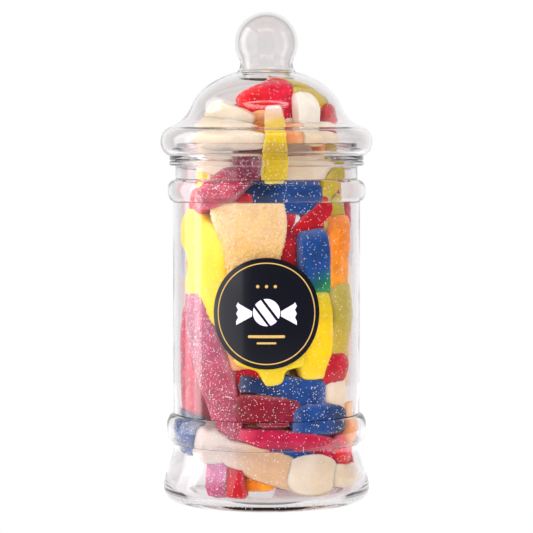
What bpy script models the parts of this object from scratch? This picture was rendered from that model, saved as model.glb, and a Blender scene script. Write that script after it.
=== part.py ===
"""A clear sweet jar with a domed, knobbed lid and a round label, filled with jelly sweets.

Metres, +Z up. The jar stands on z = 0 with its axis on the Z axis, and its label faces -Y.
A place on the jar is given by its azimuth, in degrees round the axis from the front (-Y)
towards +X, and its height.
"""

import math
import random

import bmesh
import bpy
from mathutils import Vector

MM = 0.001

# The jar: one turned vessel, open at the top.
WALL = 2.0 * MM
BODY_RADIUS = 44.1 * MM
NECK_RADIUS = 42.9 * MM
MOUTH_RADIUS = 42.6 * MM
RIM_HEIGHT = 168.5 * MM
FLANGE_RADIUS = 45.8 * MM
FLANGE_TOP = 160.4 * MM
FLANGE_THICKNESS = 2.4 * MM
UPPER_BEAD_RADIUS = 46.7 * MM
UPPER_BEAD_HEIGHT = 146.4 * MM
UPPER_BEAD_HALF = 5.1 * MM
LOWER_BEAD_RADIUS = 47.4 * MM
LOWER_BEAD_HEIGHT = 34.5 * MM
LOWER_BEAD_HALF = 6.7 * MM
WAIST_RADIUS = 44.2 * MM
WAIST_HEIGHT = 25.6 * MM
FOOT_RADIUS = 48.8 * MM
FOOT_CORNER = 6.5 * MM
REST_WIDTH = 6.0 * MM
PUNT_HEIGHT = 1.4 * MM
FLOOR_HEIGHT = 3.6 * MM

# The lid: one turned shell, open below, that rests on the jar's flange.
LID_GAP = 0.3 * MM
LIP_INNER_RADIUS = 43.5 * MM
BULGE_CENTRE_RADIUS = 43.5 * MM
BULGE_CENTRE_HEIGHT = 169.3 * MM
BULGE_REACH = 6.5 * MM
BULGE_HALF = 7.2 * MM
DOME_RADIUS = 36.2 * MM
DOME_FOOT = 181.0 * MM
DOME_RISE = 22.7 * MM
KNOB_RADIUS = 14.8 * MM
KNOB_HEIGHT = 215.4 * MM
KNOB_NECK_RADIUS = 12.2 * MM
KNOB_NECK_HEIGHT = 205.0 * MM
# Where the arcs of the knob, the dome and the bulge stop, in degrees above level.
KNOB_STOP = -32.0
DOME_START = 68.0
BULGE_START = 84.0
BULGE_STOP = -70.0

# The label: a thin round sticker that follows the body.
LABEL_RADIUS = 25.5 * MM
LABEL_HEIGHT = 91.0 * MM
LABEL_THICKNESS = 0.3 * MM
LABEL_GAP = 0.4 * MM
LABEL_SIDES = 32

# The heap: a turned core with sweets fused on all round it.
SWEET_CLEAR = 0.6 * MM
FACET_REACH = 2.5 * MM
LEAST_BEND = 34.0 * MM
MOST_SPARE = 2.0 * MM
CORE_DEPTH = 11.5 * MM
CORE_BOTTOM = 9.0 * MM
CORE_TOP = 187.0 * MM
CORE_RINGS = 9
CORE_SIDES = 16
SHOWN_SIDES = 7
FILL_SIDES = 5
SNAKE_WAVES = 2.0
SNAKE_SWING = 0.32
FLATTENING = 2.6

# The rows of sweets round the sides and the back, where no single sweet is placed by hand.
FILL_SEED = 12
FILL_ROWS = 6
FILL_FIRST = 20.0 * MM
FILL_STEP = 25.5 * MM
FILL_PER_ROW = 5
FILL_START = 101.0
FILL_END = 262.0
FILL_GAP = (0, 4)
DOME_FILL_PLACES = 5
DOME_FILL_RADIUS = 19.0 * MM
DOME_FILL_HEIGHT = 179.0 * MM

TURNED_STEPS = 32
SCREW_MERGE = 0.00001

# Each kind of sweet as stations along it: how far along, from -1 to 1, and its share of the width.
KINDS = {
    "bottle": ((-1.0, 0.0), (-0.96, 0.8), (-0.7, 1.0), (0.05, 0.95), (0.42, 0.52), (0.9, 0.46), (1.0, 0.0)),
    "finger": ((-1.0, 0.0), (-0.93, 0.72), (-0.6, 1.0), (0.6, 0.94), (0.93, 0.66), (1.0, 0.0)),
    "spindle": ((-1.0, 0.0), (-0.86, 0.44), (-0.3, 0.95), (0.35, 0.93), (0.88, 0.46), (1.0, 0.0)),
    "shield": ((-1.0, 0.0), (-0.93, 0.5), (0.0, 0.78), (0.8, 1.0), (0.98, 0.82), (1.0, 0.0)),
    "block": ((-1.0, 0.0), (-0.9, 0.84), (0.0, 1.0), (0.9, 0.78), (1.0, 0.0)),
    "pebble": ((-1.0, 0.0), (-0.9, 0.62), (-0.4, 0.98), (0.35, 0.96), (0.88, 0.66), (1.0, 0.0)),
    "horn": ((-1.0, 0.0), (-0.93, 0.68), (-0.4, 1.0), (0.3, 0.9), (0.9, 0.5), (1.0, 0.0)),
    "stub": ((-1.0, 0.0), (-0.94, 0.74), (-0.5, 1.0), (0.1, 0.84), (0.88, 0.66), (1.0, 0.0)),
    "flask": ((-1.0, 0.0), (-0.93, 0.8), (0.4, 1.0), (0.52, 0.85), (0.62, 0.46), (0.94, 0.38), (1.0, 0.0)),
    "flagon": ((-1.0, 0.0), (-0.93, 0.8), (-0.6, 1.0), (0.42, 0.7), (0.6, 0.82), (0.95, 0.76), (1.0, 0.0)),
    "snake": tuple(
        (along / 10.0, 0.0 if abs(along) == 10 else 0.7 if abs(along) == 9 else 1.0)
        for along in (-10, -9, -6, -3, 0, 3, 6, 9, 10)
    ),
}

# Sweets placed by hand: kind, azimuth, height, lean from upright towards +azimuth, length, width,
# thickness, how far in from the glass, and how far the upper end tips in. Degrees and millimetres.
PLACED = (
    # In the lid's dome.
    ("pebble", 1.0, 187.3, 76.0, 30.0, 21.5, 14.0, 9.0, 0.0),
    ("finger", 70.0, 187.0, 112.0, 27.0, 14.0, 9.0, 5.0, 4.0),
    ("block", 38.0, 185.3, -1.0, 19.0, 12.5, 9.0, 0.4, 14.0),
    ("pebble", 74.0, 179.6, 98.0, 12.0, 8.5, 8.0, 0.5, 0.0),
    ("horn", -36.0, 180.3, 107.0, 27.0, 11.5, 9.0, 0.6, 0.0),
    ("horn", -30.0, 172.3, 95.0, 42.0, 15.0, 9.0, 1.0, 0.0),
    ("pebble", -9.0, 179.0, 80.0, 12.0, 9.0, 8.0, 8.0, 0.0),
    ("pebble", 24.0, 171.5, 85.0, 13.0, 9.0, 8.0, 5.0, 0.0),
    ("finger", -2.0, 172.5, 92.0, 22.0, 10.0, 9.0, 10.0, 0.0),
    ("finger", 47.0, 171.5, 90.0, 22.0, 11.0, 9.0, 2.0, 0.0),
    # In the neck.
    ("stub", 7.5, 167.2, 0.0, 37.0, 12.0, 9.0, 0.1, 10.0),
    ("spindle", -27.0, 149.8, 61.0, 38.0, 15.0, 10.0, 0.2, 0.0),
    ("shield", -43.0, 160.0, 90.0, 24.0, 16.0, 8.0, 1.5, 3.0),
    ("finger", 34.0, 156.5, 90.0, 30.0, 12.0, 9.0, 3.0, 0.0),
    ("spindle", 57.0, 151.5, 38.0, 21.0, 11.0, 9.0, 1.0, 0.0),
    # In the upper half of the body.
    ("pebble", -56.0, 140.5, 12.0, 14.0, 12.0, 10.0, 1.0, 0.0),
    ("finger", -24.0, 141.3, 80.0, 19.0, 9.0, 9.0, 3.5, 0.0),
    ("horn", 14.0, 143.6, -87.0, 41.0, 15.0, 10.0, 6.0, 0.0),
    ("finger", 41.0, 135.2, 46.0, 38.0, 12.5, 9.0, 4.0, 0.0),
    ("pebble", 20.0, 131.0, 0.0, 12.0, 8.0, 8.0, 5.0, 0.0),
    ("shield", -13.0, 123.0, 0.0, 38.0, 37.0, 9.0, 0.2, 0.0),
    ("snake", -48.0, 111.5, -23.0, 60.0, 27.0, 11.0, 0.6, 0.0),
    ("snake", 60.0, 132.0, 20.0, 28.0, 15.0, 10.0, 3.0, 0.0),
    ("finger", 58.0, 115.0, 183.0, 41.0, 17.0, 12.0, 0.2, 0.0),
    ("finger", 34.5, 113.5, -7.0, 31.0, 17.0, 10.0, 0.2, 0.0),
    ("bottle", 15.0, 121.0, 2.0, 32.0, 13.0, 9.0, 4.0, 0.0),
    # Round the label.
    ("snake", 62.0, 82.0, 3.0, 46.0, 19.0, 11.0, 0.6, 0.0),
    ("finger", 35.5, 80.5, 1.0, 42.0, 16.5, 10.0, 0.2, 0.0),
    ("flask", 5.0, 81.7, 180.0, 48.0, 32.0, 11.0, 0.2, 0.0),
    ("horn", -41.0, 68.5, 163.0, 77.0, 20.0, 12.0, 0.2, 0.0),
    ("finger", -70.0, 67.0, -4.0, 52.0, 18.0, 12.0, 0.6, 0.0),
    ("finger", -18.0, 81.5, -6.0, 34.0, 20.0, 9.0, 3.0, 0.0),
    ("pebble", 55.0, 64.5, 0.0, 15.5, 18.0, 12.0, 0.3, 0.0),
    ("finger", -18.0, 56.5, -4.0, 32.0, 17.0, 10.0, 5.0, 0.0),
    # Below the label.
    ("finger", 12.5, 56.3, 97.0, 38.5, 14.0, 10.0, 2.0, 0.0),
    ("pebble", 1.5, 46.3, 92.0, 31.0, 15.0, 12.0, 0.2, 0.0),
    ("block", 36.5, 41.8, 93.0, 31.0, 15.5, 12.0, 0.2, 0.0),
    ("finger", 57.0, 48.5, -8.0, 27.0, 17.0, 11.0, 1.5, 0.0),
    ("finger", 73.0, 38.0, 0.0, 19.0, 13.0, 12.0, 0.5, 0.0),
    ("horn", 16.0, 30.8, -81.0, 55.0, 13.0, 10.0, 1.5, 0.0),
    ("finger", 18.0, 24.6, 99.0, 40.0, 9.0, 10.0, 5.0, 0.0),
    ("finger", -68.0, 36.5, 8.0, 26.0, 22.0, 11.0, 0.5, 0.0),
    ("pebble", 63.0, 24.8, 20.0, 17.0, 17.0, 12.0, 0.5, 0.0),
    # On the jar's floor.
    ("flagon", -2.0, 21.8, -75.0, 67.0, 19.0, 12.0, 0.2, 0.0),
    ("pebble", 30.0, 14.8, 100.0, 21.0, 17.0, 12.5, 0.1, 0.0),
    ("block", -29.0, 14.0, 4.0, 17.5, 9.5, 12.0, 0.5, 0.0),
    ("block", -17.0, 14.0, 2.0, 15.5, 9.0, 12.0, 1.0, 0.0),
    ("block", -4.0, 12.5, 90.0, 14.0, 11.0, 12.0, 8.0, 0.0),
    ("finger", 66.0, 14.3, 92.0, 27.0, 11.5, 12.0, 0.5, 0.0),
)


def clear_scene():
    """Remove every object of the scene."""
    for thing in list(bpy.data.objects):
        bpy.data.objects.remove(thing)


def make_collection(name):
    """A new collection of this name, linked to the scene."""
    collection = bpy.data.collections.new(name)
    bpy.context.scene.collection.children.link(collection)
    return collection


def make_material(name, colour, roughness, transmission=0.0):
    """A Principled material of one plain colour."""
    material = bpy.data.materials.new(name)
    material.use_nodes = True
    shader = material.node_tree.nodes["Principled BSDF"]
    shader.inputs["Base Color"].default_value = (*colour, 1.0)
    shader.inputs["Roughness"].default_value = roughness
    shader.inputs["Metallic"].default_value = 0.0
    shader.inputs["Transmission Weight"].default_value = transmission
    return material


def arc(centre, reach, start, end, count):
    """Points of an elliptic arc round centre, as (radius, height), from one angle to another."""
    angles = (math.radians(start + (end - start) * i / (count - 1)) for i in range(count))
    return [
        (centre[0] + reach[0] * math.cos(angle), centre[1] + reach[1] * math.sin(angle))
        for angle in angles
    ]


def bead(height, half, top_radius, crest, bottom_radius, count):
    """The outline of a rounded bead, top to bottom, between the radii above and below it."""
    points = []
    for i in range(count):
        along = i / (count - 1)
        base = top_radius + (bottom_radius - top_radius) * along
        swell = math.sin(math.pi * along)
        points.append((base + (crest - base) * swell, height + half * math.cos(math.pi * along)))
    return points


def flare(top, bottom, count):
    """An S-curve of the jar's wall from top to bottom, upright at both ends."""
    points = []
    for i in range(count):
        along = i / (count - 1)
        ease = along * along * (3.0 - 2.0 * along)
        points.append((top[0] + (bottom[0] - top[0]) * ease, top[1] + (bottom[1] - top[1]) * along))
    return points


def jar_outside():
    """The jar's outer outline, from the rim down to the middle of its underside."""
    flange_bottom = FLANGE_TOP - FLANGE_THICKNESS
    corner = (FOOT_RADIUS - FOOT_CORNER, FOOT_CORNER)
    rest_inner = corner[0] - REST_WIDTH
    return [
        (MOUTH_RADIUS, RIM_HEIGHT),
        (MOUTH_RADIUS, FLANGE_TOP),
        (FLANGE_RADIUS, FLANGE_TOP),
        (FLANGE_RADIUS, flange_bottom),
        (NECK_RADIUS, flange_bottom),
        *bead(UPPER_BEAD_HEIGHT, UPPER_BEAD_HALF, NECK_RADIUS, UPPER_BEAD_RADIUS, BODY_RADIUS, 6),
        *bead(LOWER_BEAD_HEIGHT, LOWER_BEAD_HALF, BODY_RADIUS, LOWER_BEAD_RADIUS, WAIST_RADIUS, 6),
        *flare((WAIST_RADIUS, WAIST_HEIGHT), (FOOT_RADIUS, FOOT_CORNER), 5),
        *arc(corner, (FOOT_CORNER, FOOT_CORNER), -22.5, -90.0, 4),
        (rest_inner, 0.0),
        (rest_inner - PUNT_HEIGHT, PUNT_HEIGHT),
        (0.0, PUNT_HEIGHT),
    ]


def jar_inside():
    """The jar's inner outline, from the middle of its floor up to the rim."""
    corner_radius = FOOT_CORNER - WALL
    corner = (FOOT_RADIUS - FOOT_CORNER, FLOOR_HEIGHT + corner_radius)
    down = [
        (MOUTH_RADIUS - WALL, RIM_HEIGHT),
        *bead(
            UPPER_BEAD_HEIGHT,
            UPPER_BEAD_HALF,
            MOUTH_RADIUS - WALL,
            UPPER_BEAD_RADIUS - WALL,
            BODY_RADIUS - WALL,
            5,
        ),
        *bead(
            LOWER_BEAD_HEIGHT,
            LOWER_BEAD_HALF,
            BODY_RADIUS - WALL,
            LOWER_BEAD_RADIUS - WALL,
            WAIST_RADIUS - WALL,
            5,
        ),
        *flare((WAIST_RADIUS - WALL, WAIST_HEIGHT), (FOOT_RADIUS - WALL, corner[1]), 4)[:-1],
        *arc(corner, (corner_radius, corner_radius), 0.0, -90.0, 3),
        (0.0, FLOOR_HEIGHT),
    ]
    return down[::-1]


def lid_shell(inset, bulge_points, dome_points, knob_points):
    """One face of the lid, from the top of the knob down to the lip, this far in from the outside."""
    knob = KNOB_RADIUS - inset
    dome = (DOME_RADIUS - inset, DOME_RISE - inset)
    bulge = (BULGE_REACH - inset, BULGE_HALF - inset)
    bulge_centre = (BULGE_CENTRE_RADIUS, BULGE_CENTRE_HEIGHT)
    return [
        (0.0, KNOB_HEIGHT + knob),
        *arc((0.0, KNOB_HEIGHT), (knob, knob), 90.0, KNOB_STOP, knob_points)[1:],
        (KNOB_NECK_RADIUS - inset, KNOB_NECK_HEIGHT),
        *arc((0.0, DOME_FOOT), dome, DOME_START, 0.0, dome_points),
        *arc(bulge_centre, bulge, BULGE_START, BULGE_STOP, bulge_points),
    ]


def lid_outline():
    """The lid's whole outline: down its outside, round the lip and up its inside."""
    lip_height = FLANGE_TOP + LID_GAP
    outside = lid_shell(0.0, 7, 6, 7)
    inside = lid_shell(WALL, 5, 5, 5)
    lip = [(outside[-1][0], lip_height), (LIP_INNER_RADIUS, lip_height)]
    return outside + lip + inside[::-1]


def turned(name, outline, steps, collection, material):
    """A solid of revolution from a closed outline that starts and ends on the axis."""
    mesh = bpy.data.meshes.new(name)
    points = [(radius, 0.0, height) for radius, height in outline]
    edges = [(i, i + 1) for i in range(len(points) - 1)]
    mesh.from_pydata(points, edges, [])
    mesh.materials.append(material)
    thing = bpy.data.objects.new(name, mesh)
    collection.objects.link(thing)
    screw = thing.modifiers.new("turn", "SCREW")
    screw.axis = "Z"
    screw.steps = steps
    screw.render_steps = steps
    screw.use_merge_vertices = True
    screw.merge_threshold = SCREW_MERGE
    return thing


def wrapped(across, radius, height):
    """The place of a point this far round the jar from the front, at a radius and a height."""
    turn = across / radius
    return Vector((radius * math.sin(turn), -radius * math.cos(turn), height))


def make_label(collection, material):
    """The sticker: a thin disc, cut into upright strips and wrapped round the body."""
    shape = bmesh.new()
    bmesh.ops.create_cone(
        shape,
        cap_ends=True,
        segments=LABEL_SIDES,
        radius1=LABEL_RADIUS,
        radius2=LABEL_RADIUS,
        depth=LABEL_THICKNESS,
    )
    for strip in range(1, LABEL_SIDES // 2):
        cut = LABEL_RADIUS * math.cos(2.0 * math.pi * strip / LABEL_SIDES)
        bmesh.ops.bisect_plane(
            shape,
            geom=shape.verts[:] + shape.edges[:] + shape.faces[:],
            dist=0.000001,
            plane_co=(cut, 0.0, 0.0),
            plane_no=(1.0, 0.0, 0.0),
        )
    middle = BODY_RADIUS + LABEL_GAP + LABEL_THICKNESS / 2.0
    for vert in shape.verts:
        across, up, out = vert.co
        place = wrapped(across, middle, LABEL_HEIGHT + up)
        outward = Vector((place.x, place.y, 0.0)).normalized()
        vert.co = place + outward * out
    bmesh.ops.recalc_face_normals(shape, faces=shape.faces)
    mesh = bpy.data.meshes.new("label")
    shape.to_mesh(mesh)
    shape.free()
    mesh.materials.append(material)
    thing = bpy.data.objects.new("label", mesh)
    collection.objects.link(thing)
    return thing


def room_outline():
    """The inner face that holds the sweets, as (height, radius) from the floor to the dome's top."""
    mouth = MOUTH_RADIUS - WALL
    shoulder = BULGE_CENTRE_HEIGHT + BULGE_HALF - WALL
    inside = [(height, radius) for radius, height in jar_inside()[1:]]
    dome = arc((0.0, DOME_FOOT), (DOME_RADIUS - WALL, DOME_RISE - WALL), 0.0, 80.0, 9)
    return inside + [(shoulder - WALL, mouth)] + [(height, radius) for radius, height in dome]


ROOM = room_outline()


def room_radius(height):
    """The radius of the room for sweets at a height."""
    if height <= ROOM[0][0]:
        return ROOM[0][1]
    for (low, first), (high, second) in zip(ROOM, ROOM[1:]):
        if height <= high:
            return first + (second - first) * (height - low) / max(high - low, 1e-9)
    return ROOM[-1][1]


def snug_radius(height):
    """The radius that a flat facet of a sweet may reach at a height, clear of the ridges near it."""
    return min(room_radius(height + step * FACET_REACH) for step in (-1.0, -0.5, 0.0, 0.5, 1.0)) - SWEET_CLEAR


def laid_point(across, out, along, place):
    """Where a point of a sweet comes to lie: leant, tipped, bent with the jar's wall and kept inside it."""
    azimuth, height, lean, radius, inset, tip = place
    turn = math.radians(lean)
    side = across * math.cos(turn) + along * math.sin(turn)
    rise = along * math.cos(turn) - across * math.sin(turn)
    level = max(height + rise * math.cos(math.radians(tip)), FLOOR_HEIGHT + SWEET_CLEAR + inset / 2.0)
    bend = max(radius, LEAST_BEND)
    reach = bend + out - rise * math.sin(math.radians(tip))
    outward = radius + reach * math.cos(side / bend) - bend
    sideways = reach * math.sin(side / bend)
    limit = snug_radius(level) - min(inset, MOST_SPARE)
    share = min(1.0, limit / math.hypot(outward, sideways))
    facing = math.radians(azimuth)
    front = Vector((math.sin(facing), -math.cos(facing), 0.0)) * outward * share
    beside = Vector((math.cos(facing), math.sin(facing), 0.0)) * sideways * share
    return front + beside + Vector((0.0, 0.0, level))


def make_sweet(collection, sweet, sides):
    """One sweet, from a sphere whose rings become the stations of its kind, laid in the jar."""
    kind, azimuth, height, lean, length, width, thickness, inset, tip = sweet
    stations = KINDS[kind]
    shape = bmesh.new()
    rings = len(stations) - 1
    bmesh.ops.create_uvsphere(shape, u_segments=sides, v_segments=rings, radius=1.0)
    radius = room_radius(height * MM) - SWEET_CLEAR - (inset + thickness / 2.0) * MM
    place = (azimuth, height * MM, lean, radius, inset * MM, tip)
    for vert in shape.verts:
        ring = round(math.acos(max(-1.0, min(1.0, -vert.co.z))) * rings / math.pi)
        along, share = stations[ring]
        spread = math.hypot(vert.co.x, vert.co.y)
        if spread < 1e-4:
            across, out = 0.0, 0.0
        else:
            cosine, sine = vert.co.x / spread, vert.co.y / spread
            power = (abs(cosine) ** FLATTENING + abs(sine) ** FLATTENING) ** (-1.0 / FLATTENING)
            across = cosine * power * share * width / 2.0 * MM
            out = sine * power * math.sqrt(share) * thickness / 2.0 * MM
        if kind == "snake":
            across += SNAKE_SWING * width / 2.0 * MM * math.sin(math.pi * SNAKE_WAVES * along)
        vert.co = laid_point(across, out, along * length / 2.0 * MM, place)
    # Laying a sweet mirrors it, so its faces are turned to point outwards again.
    bmesh.ops.reverse_faces(shape, faces=shape.faces)
    mesh = bpy.data.meshes.new(kind)
    shape.to_mesh(mesh)
    shape.free()
    thing = bpy.data.objects.new(kind, mesh)
    collection.objects.link(thing)
    return thing


def filling_sweets():
    """The sweets of the sides and the back: rows that climb the jar, drawn from one seed."""
    draw = random.Random(FILL_SEED)
    kinds = ("bottle", "finger", "spindle", "shield", "finger", "bottle")
    turn = (FILL_END - FILL_START) / FILL_PER_ROW
    sweets = []
    for row in range(FILL_ROWS):
        height = (FILL_FIRST + row * FILL_STEP) / MM
        for place in range(FILL_PER_ROW):
            azimuth = FILL_START + turn * (place + 0.5 * (row % 2)) + draw.uniform(-3.0, 3.0)
            lean = draw.uniform(-48.0, 48.0) + 180.0 * draw.randrange(2)
            length = draw.uniform(32.0, 42.0)
            width = draw.uniform(17.0, 22.0)
            rise = height + draw.uniform(-3.0, 3.0)
            inset = draw.uniform(0.2, 2.5)
            kind = draw.choice(kinds)
            if (row, place) != FILL_GAP:
                sweets.append((kind, azimuth, rise, lean, length, width, 11.0, inset, 0.0))
    for place in range(DOME_FILL_PLACES):
        azimuth = FILL_START + (FILL_END - FILL_START) * place / (DOME_FILL_PLACES - 1)
        rise = DOME_FILL_HEIGHT / MM + draw.uniform(-2.0, 2.0)
        lean = draw.uniform(60.0, 120.0)
        inset = (room_radius(DOME_FILL_HEIGHT) - DOME_FILL_RADIUS) / MM - 7.0
        sweets.append((draw.choice(kinds), azimuth, rise, lean, 26.0, 16.0, 12.0, inset, 0.0))
    return sweets


def core_outline():
    """The core's outline, from the top of the heap down to the middle of its underside."""
    points = [(0.0, CORE_TOP)]
    for i in range(CORE_RINGS):
        height = CORE_TOP - (CORE_TOP - CORE_BOTTOM) * (i + 0.35) / (CORE_RINGS - 0.3)
        points.append((room_radius(height) - CORE_DEPTH, height))
    return points + [(0.0, CORE_BOTTOM)]


def island_volume(faces):
    """The volume inside a set of faces, below zero where they enclose a hollow."""
    total = 0.0
    for face in faces:
        corners = [vert.co for vert in face.verts]
        for second, third in zip(corners[1:], corners[2:]):
            total += corners[0].dot(second.cross(third)) / 6.0
    return total


def keep_outer_skin(mesh):
    """Keep the largest closed skin, which fills sealed hollows and drops loose scraps."""
    shape = bmesh.new()
    shape.from_mesh(mesh)
    waiting = set(shape.faces)
    islands = []
    while waiting:
        island = {waiting.pop()}
        edge_of_island = list(island)
        while edge_of_island:
            face = edge_of_island.pop()
            joined = {other for edge in face.edges for other in edge.link_faces} & waiting
            waiting -= joined
            island |= joined
            edge_of_island += joined
        islands.append(island)
    largest = max(islands, key=island_volume)
    dropped = [face for island in islands if island is not largest for face in island]
    bmesh.ops.delete(shape, geom=dropped, context="FACES")
    shape.to_mesh(mesh)
    shape.free()


def make_heap(collection, material):
    """The heap of sweets as one solid: the core with every sweet fused on."""
    heap = turned("sweets", core_outline(), CORE_SIDES, collection, material)
    pieces = make_collection("sweets_to_fuse")
    for sweet in PLACED:
        make_sweet(pieces, sweet, SHOWN_SIDES)
    for sweet in filling_sweets():
        make_sweet(pieces, sweet, FILL_SIDES)
    fuse = heap.modifiers.new("fuse", "BOOLEAN")
    fuse.operation = "UNION"
    fuse.operand_type = "COLLECTION"
    fuse.collection = pieces
    fuse.solver = "EXACT"
    bpy.context.view_layer.update()
    graph = bpy.context.evaluated_depsgraph_get()
    fused = bpy.data.meshes.new_from_object(heap.evaluated_get(graph))
    keep_outer_skin(fused)
    heap.modifiers.clear()
    heap.data = fused
    for piece in list(pieces.objects):
        bpy.data.objects.remove(piece)
    bpy.data.collections.remove(pieces)
    return heap


def shade_round(thing, sharp_degrees):
    """Smooth shading that keeps the edges sharper than an angle."""
    thing.data.shade_smooth()
    thing.data.set_sharp_from_angle(angle=math.radians(sharp_degrees))


def main():
    """Build the jar, its lid, its label and the heap of sweets."""
    clear_scene()
    parts = make_collection("sweet_jar")
    clear = make_material("clear_jar", (0.93, 0.95, 0.96), 0.03, transmission=1.0)
    clear_lid = make_material("clear_lid", (0.93, 0.95, 0.96), 0.03, transmission=1.0)
    navy = make_material("label_print", (0.009, 0.009, 0.020), 0.45)
    jelly = make_material("sugared_jelly", (0.80, 0.22, 0.12), 0.5)
    turned("jar", jar_inside() + jar_outside(), TURNED_STEPS, parts, clear)
    turned("lid", lid_outline(), TURNED_STEPS, parts, clear_lid)
    shade_round(make_label(parts, navy), 40.0)
    shade_round(make_heap(parts, jelly), 35.0)


if __name__ == "__main__":
    main()
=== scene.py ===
"""The looks of a clear, turned sweet jar full of sugar-coated jelly sweets.

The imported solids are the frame: metres, +Z up, the jar's axis on the Z axis and its label
facing -Y. The jar, the lid, the label and the heap of sweets each have a finer piece in place
of their plain solid. A place on the jar is given by its azimuth, in degrees round the axis
from the front towards +X, and its height.
"""

import logging
import math
import random
from collections.abc import Callable, Iterator, Sequence
from contextlib import contextmanager
from dataclasses import dataclass, field, replace
from enum import Enum
from typing import Any

import bmesh
import bpy
import numpy as np
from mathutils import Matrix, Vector


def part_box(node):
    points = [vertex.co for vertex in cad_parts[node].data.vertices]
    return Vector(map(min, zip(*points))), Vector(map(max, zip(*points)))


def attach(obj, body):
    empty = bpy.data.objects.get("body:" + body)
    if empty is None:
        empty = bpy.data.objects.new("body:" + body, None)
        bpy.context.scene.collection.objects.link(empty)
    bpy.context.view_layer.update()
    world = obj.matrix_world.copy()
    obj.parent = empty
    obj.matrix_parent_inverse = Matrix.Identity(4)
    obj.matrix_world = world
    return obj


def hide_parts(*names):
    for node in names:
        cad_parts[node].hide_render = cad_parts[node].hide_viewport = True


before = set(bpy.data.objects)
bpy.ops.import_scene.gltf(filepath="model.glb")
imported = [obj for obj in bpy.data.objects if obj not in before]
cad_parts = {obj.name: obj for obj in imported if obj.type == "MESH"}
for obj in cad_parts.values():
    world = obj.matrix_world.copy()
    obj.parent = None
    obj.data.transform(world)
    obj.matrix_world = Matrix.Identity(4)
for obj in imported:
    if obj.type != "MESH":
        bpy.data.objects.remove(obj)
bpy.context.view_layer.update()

LOG = logging.getLogger("sweet_jar")
MM = 0.001
FULL_TURN = math.tau
# Turns what is drawn on the floor to face the front.
UPRIGHT = (math.pi / 2.0, 0.0, 0.0)

Outline = list[tuple[float, float]]


# ---------------------------------------------------------------- small tools


def linear(hex_colour: str) -> tuple[float, float, float, float]:
    """Turn an sRGB hex colour into the linear colour that a shader takes.

    Args:
        hex_colour: The colour as "#rrggbb".

    Returns:
        Linear red, green, blue and an alpha of 1.
    """
    channels = [int(hex_colour[i : i + 2], 16) / 255.0 for i in (1, 3, 5)]
    red, green, blue = (c / 12.92 if c <= 0.04045 else ((c + 0.055) / 1.055) ** 2.4 for c in channels)
    return red, green, blue, 1.0


def add_node(
    tree: bpy.types.NodeTree,
    kind: str,
    inputs: dict[int | str, Any] | None = None,
    **settings: Any,
) -> bpy.types.Node:
    """Add a node to a tree, with its settings and its links.

    Args:
        tree: The tree that gets the node.
        kind: The node's type name.
        inputs: For each input, by name or number, a value or the socket that feeds it.
        settings: The node's own properties.

    Returns:
        The new node.
    """
    node = tree.nodes.new(kind)
    for name, value in settings.items():
        setattr(node, name, value)
    for key, value in (inputs or {}).items():
        if isinstance(value, bpy.types.NodeSocket):
            tree.links.new(value, node.inputs[key])
        else:
            node.inputs[key].default_value = value
    return node


def new_material(name: str) -> tuple[bpy.types.Material, bpy.types.NodeTree, bpy.types.Node]:
    """Start a material with a Principled shader.

    Args:
        name: What the material is.

    Returns:
        The material, its node tree and its shader.
    """
    material = bpy.data.materials.new(name)
    material.use_nodes = True
    tree = material.node_tree
    return material, tree, tree.nodes["Principled BSDF"]


def focus(thing: bpy.types.Object) -> None:
    """Make one object the only selected one, and the active one.

    Args:
        thing: The object.
    """
    bpy.ops.object.select_all(action="DESELECT")
    thing.select_set(True)
    bpy.context.view_layer.objects.active = thing


def add_shape(name: str, operator: Callable[..., Any], **settings: Any) -> bpy.types.Object:
    """Add a primitive with nothing else selected.

    Args:
        name: The name of the piece that it starts.
        operator: The primitive's operator.
        settings: Its size, place and turn.

    Returns:
        The new object, with its place and turn in its mesh.
    """
    bpy.ops.object.select_all(action="DESELECT")
    operator(**settings)
    thing = bpy.context.object
    thing.name = thing.data.name = name
    bpy.ops.object.transform_apply(location=True, rotation=True, scale=True)
    return thing


def join(name: str, things: Sequence[bpy.types.Object]) -> bpy.types.Object:
    """Join objects into one.

    Args:
        name: The name of the joined piece.
        things: The objects, of which the first keeps its place.

    Returns:
        The joined piece.
    """
    focus(things[0])
    for thing in things:
        thing.select_set(True)
    bpy.ops.object.join()
    piece = bpy.context.object
    piece.name = piece.data.name = name
    return piece


@contextmanager
def editing(thing: bpy.types.Object) -> Iterator[None]:
    """Go into edit mode on one object, with everything in it selected, and come back out.

    Args:
        thing: The object.

    Yields:
        Nothing. The block runs in edit mode.
    """
    focus(thing)
    bpy.context.tool_settings.mesh_select_mode = (True, False, False)
    bpy.ops.object.mode_set(mode="EDIT")
    bpy.ops.mesh.select_all(action="SELECT")
    yield
    bpy.ops.object.mode_set(mode="OBJECT")


def choose(thing: bpy.types.Object, test: Callable[[Vector], bool]) -> None:
    """Select the points of an object in edit mode that pass a test of their place.

    Args:
        thing: The object.
        test: Tells of a place whether its point is selected.
    """
    bpy.ops.mesh.select_all(action="DESELECT")
    shape = bmesh.from_edit_mesh(thing.data)
    for vert in shape.verts:
        if test(vert.co):
            vert.select_set(True)
    shape.select_flush_mode()
    bmesh.update_edit_mesh(thing.data)


def apply_modifier(thing: bpy.types.Object, kind: str, **settings: Any) -> None:
    """Give an object a modifier and apply it.

    Args:
        thing: The object.
        kind: The modifier's type.
        settings: The modifier's properties.
    """
    focus(thing)
    modifier = thing.modifiers.new(kind.lower(), kind)
    for name, value in settings.items():
        setattr(modifier, name, value)
    bpy.ops.object.modifier_apply(modifier=modifier.name)


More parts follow.
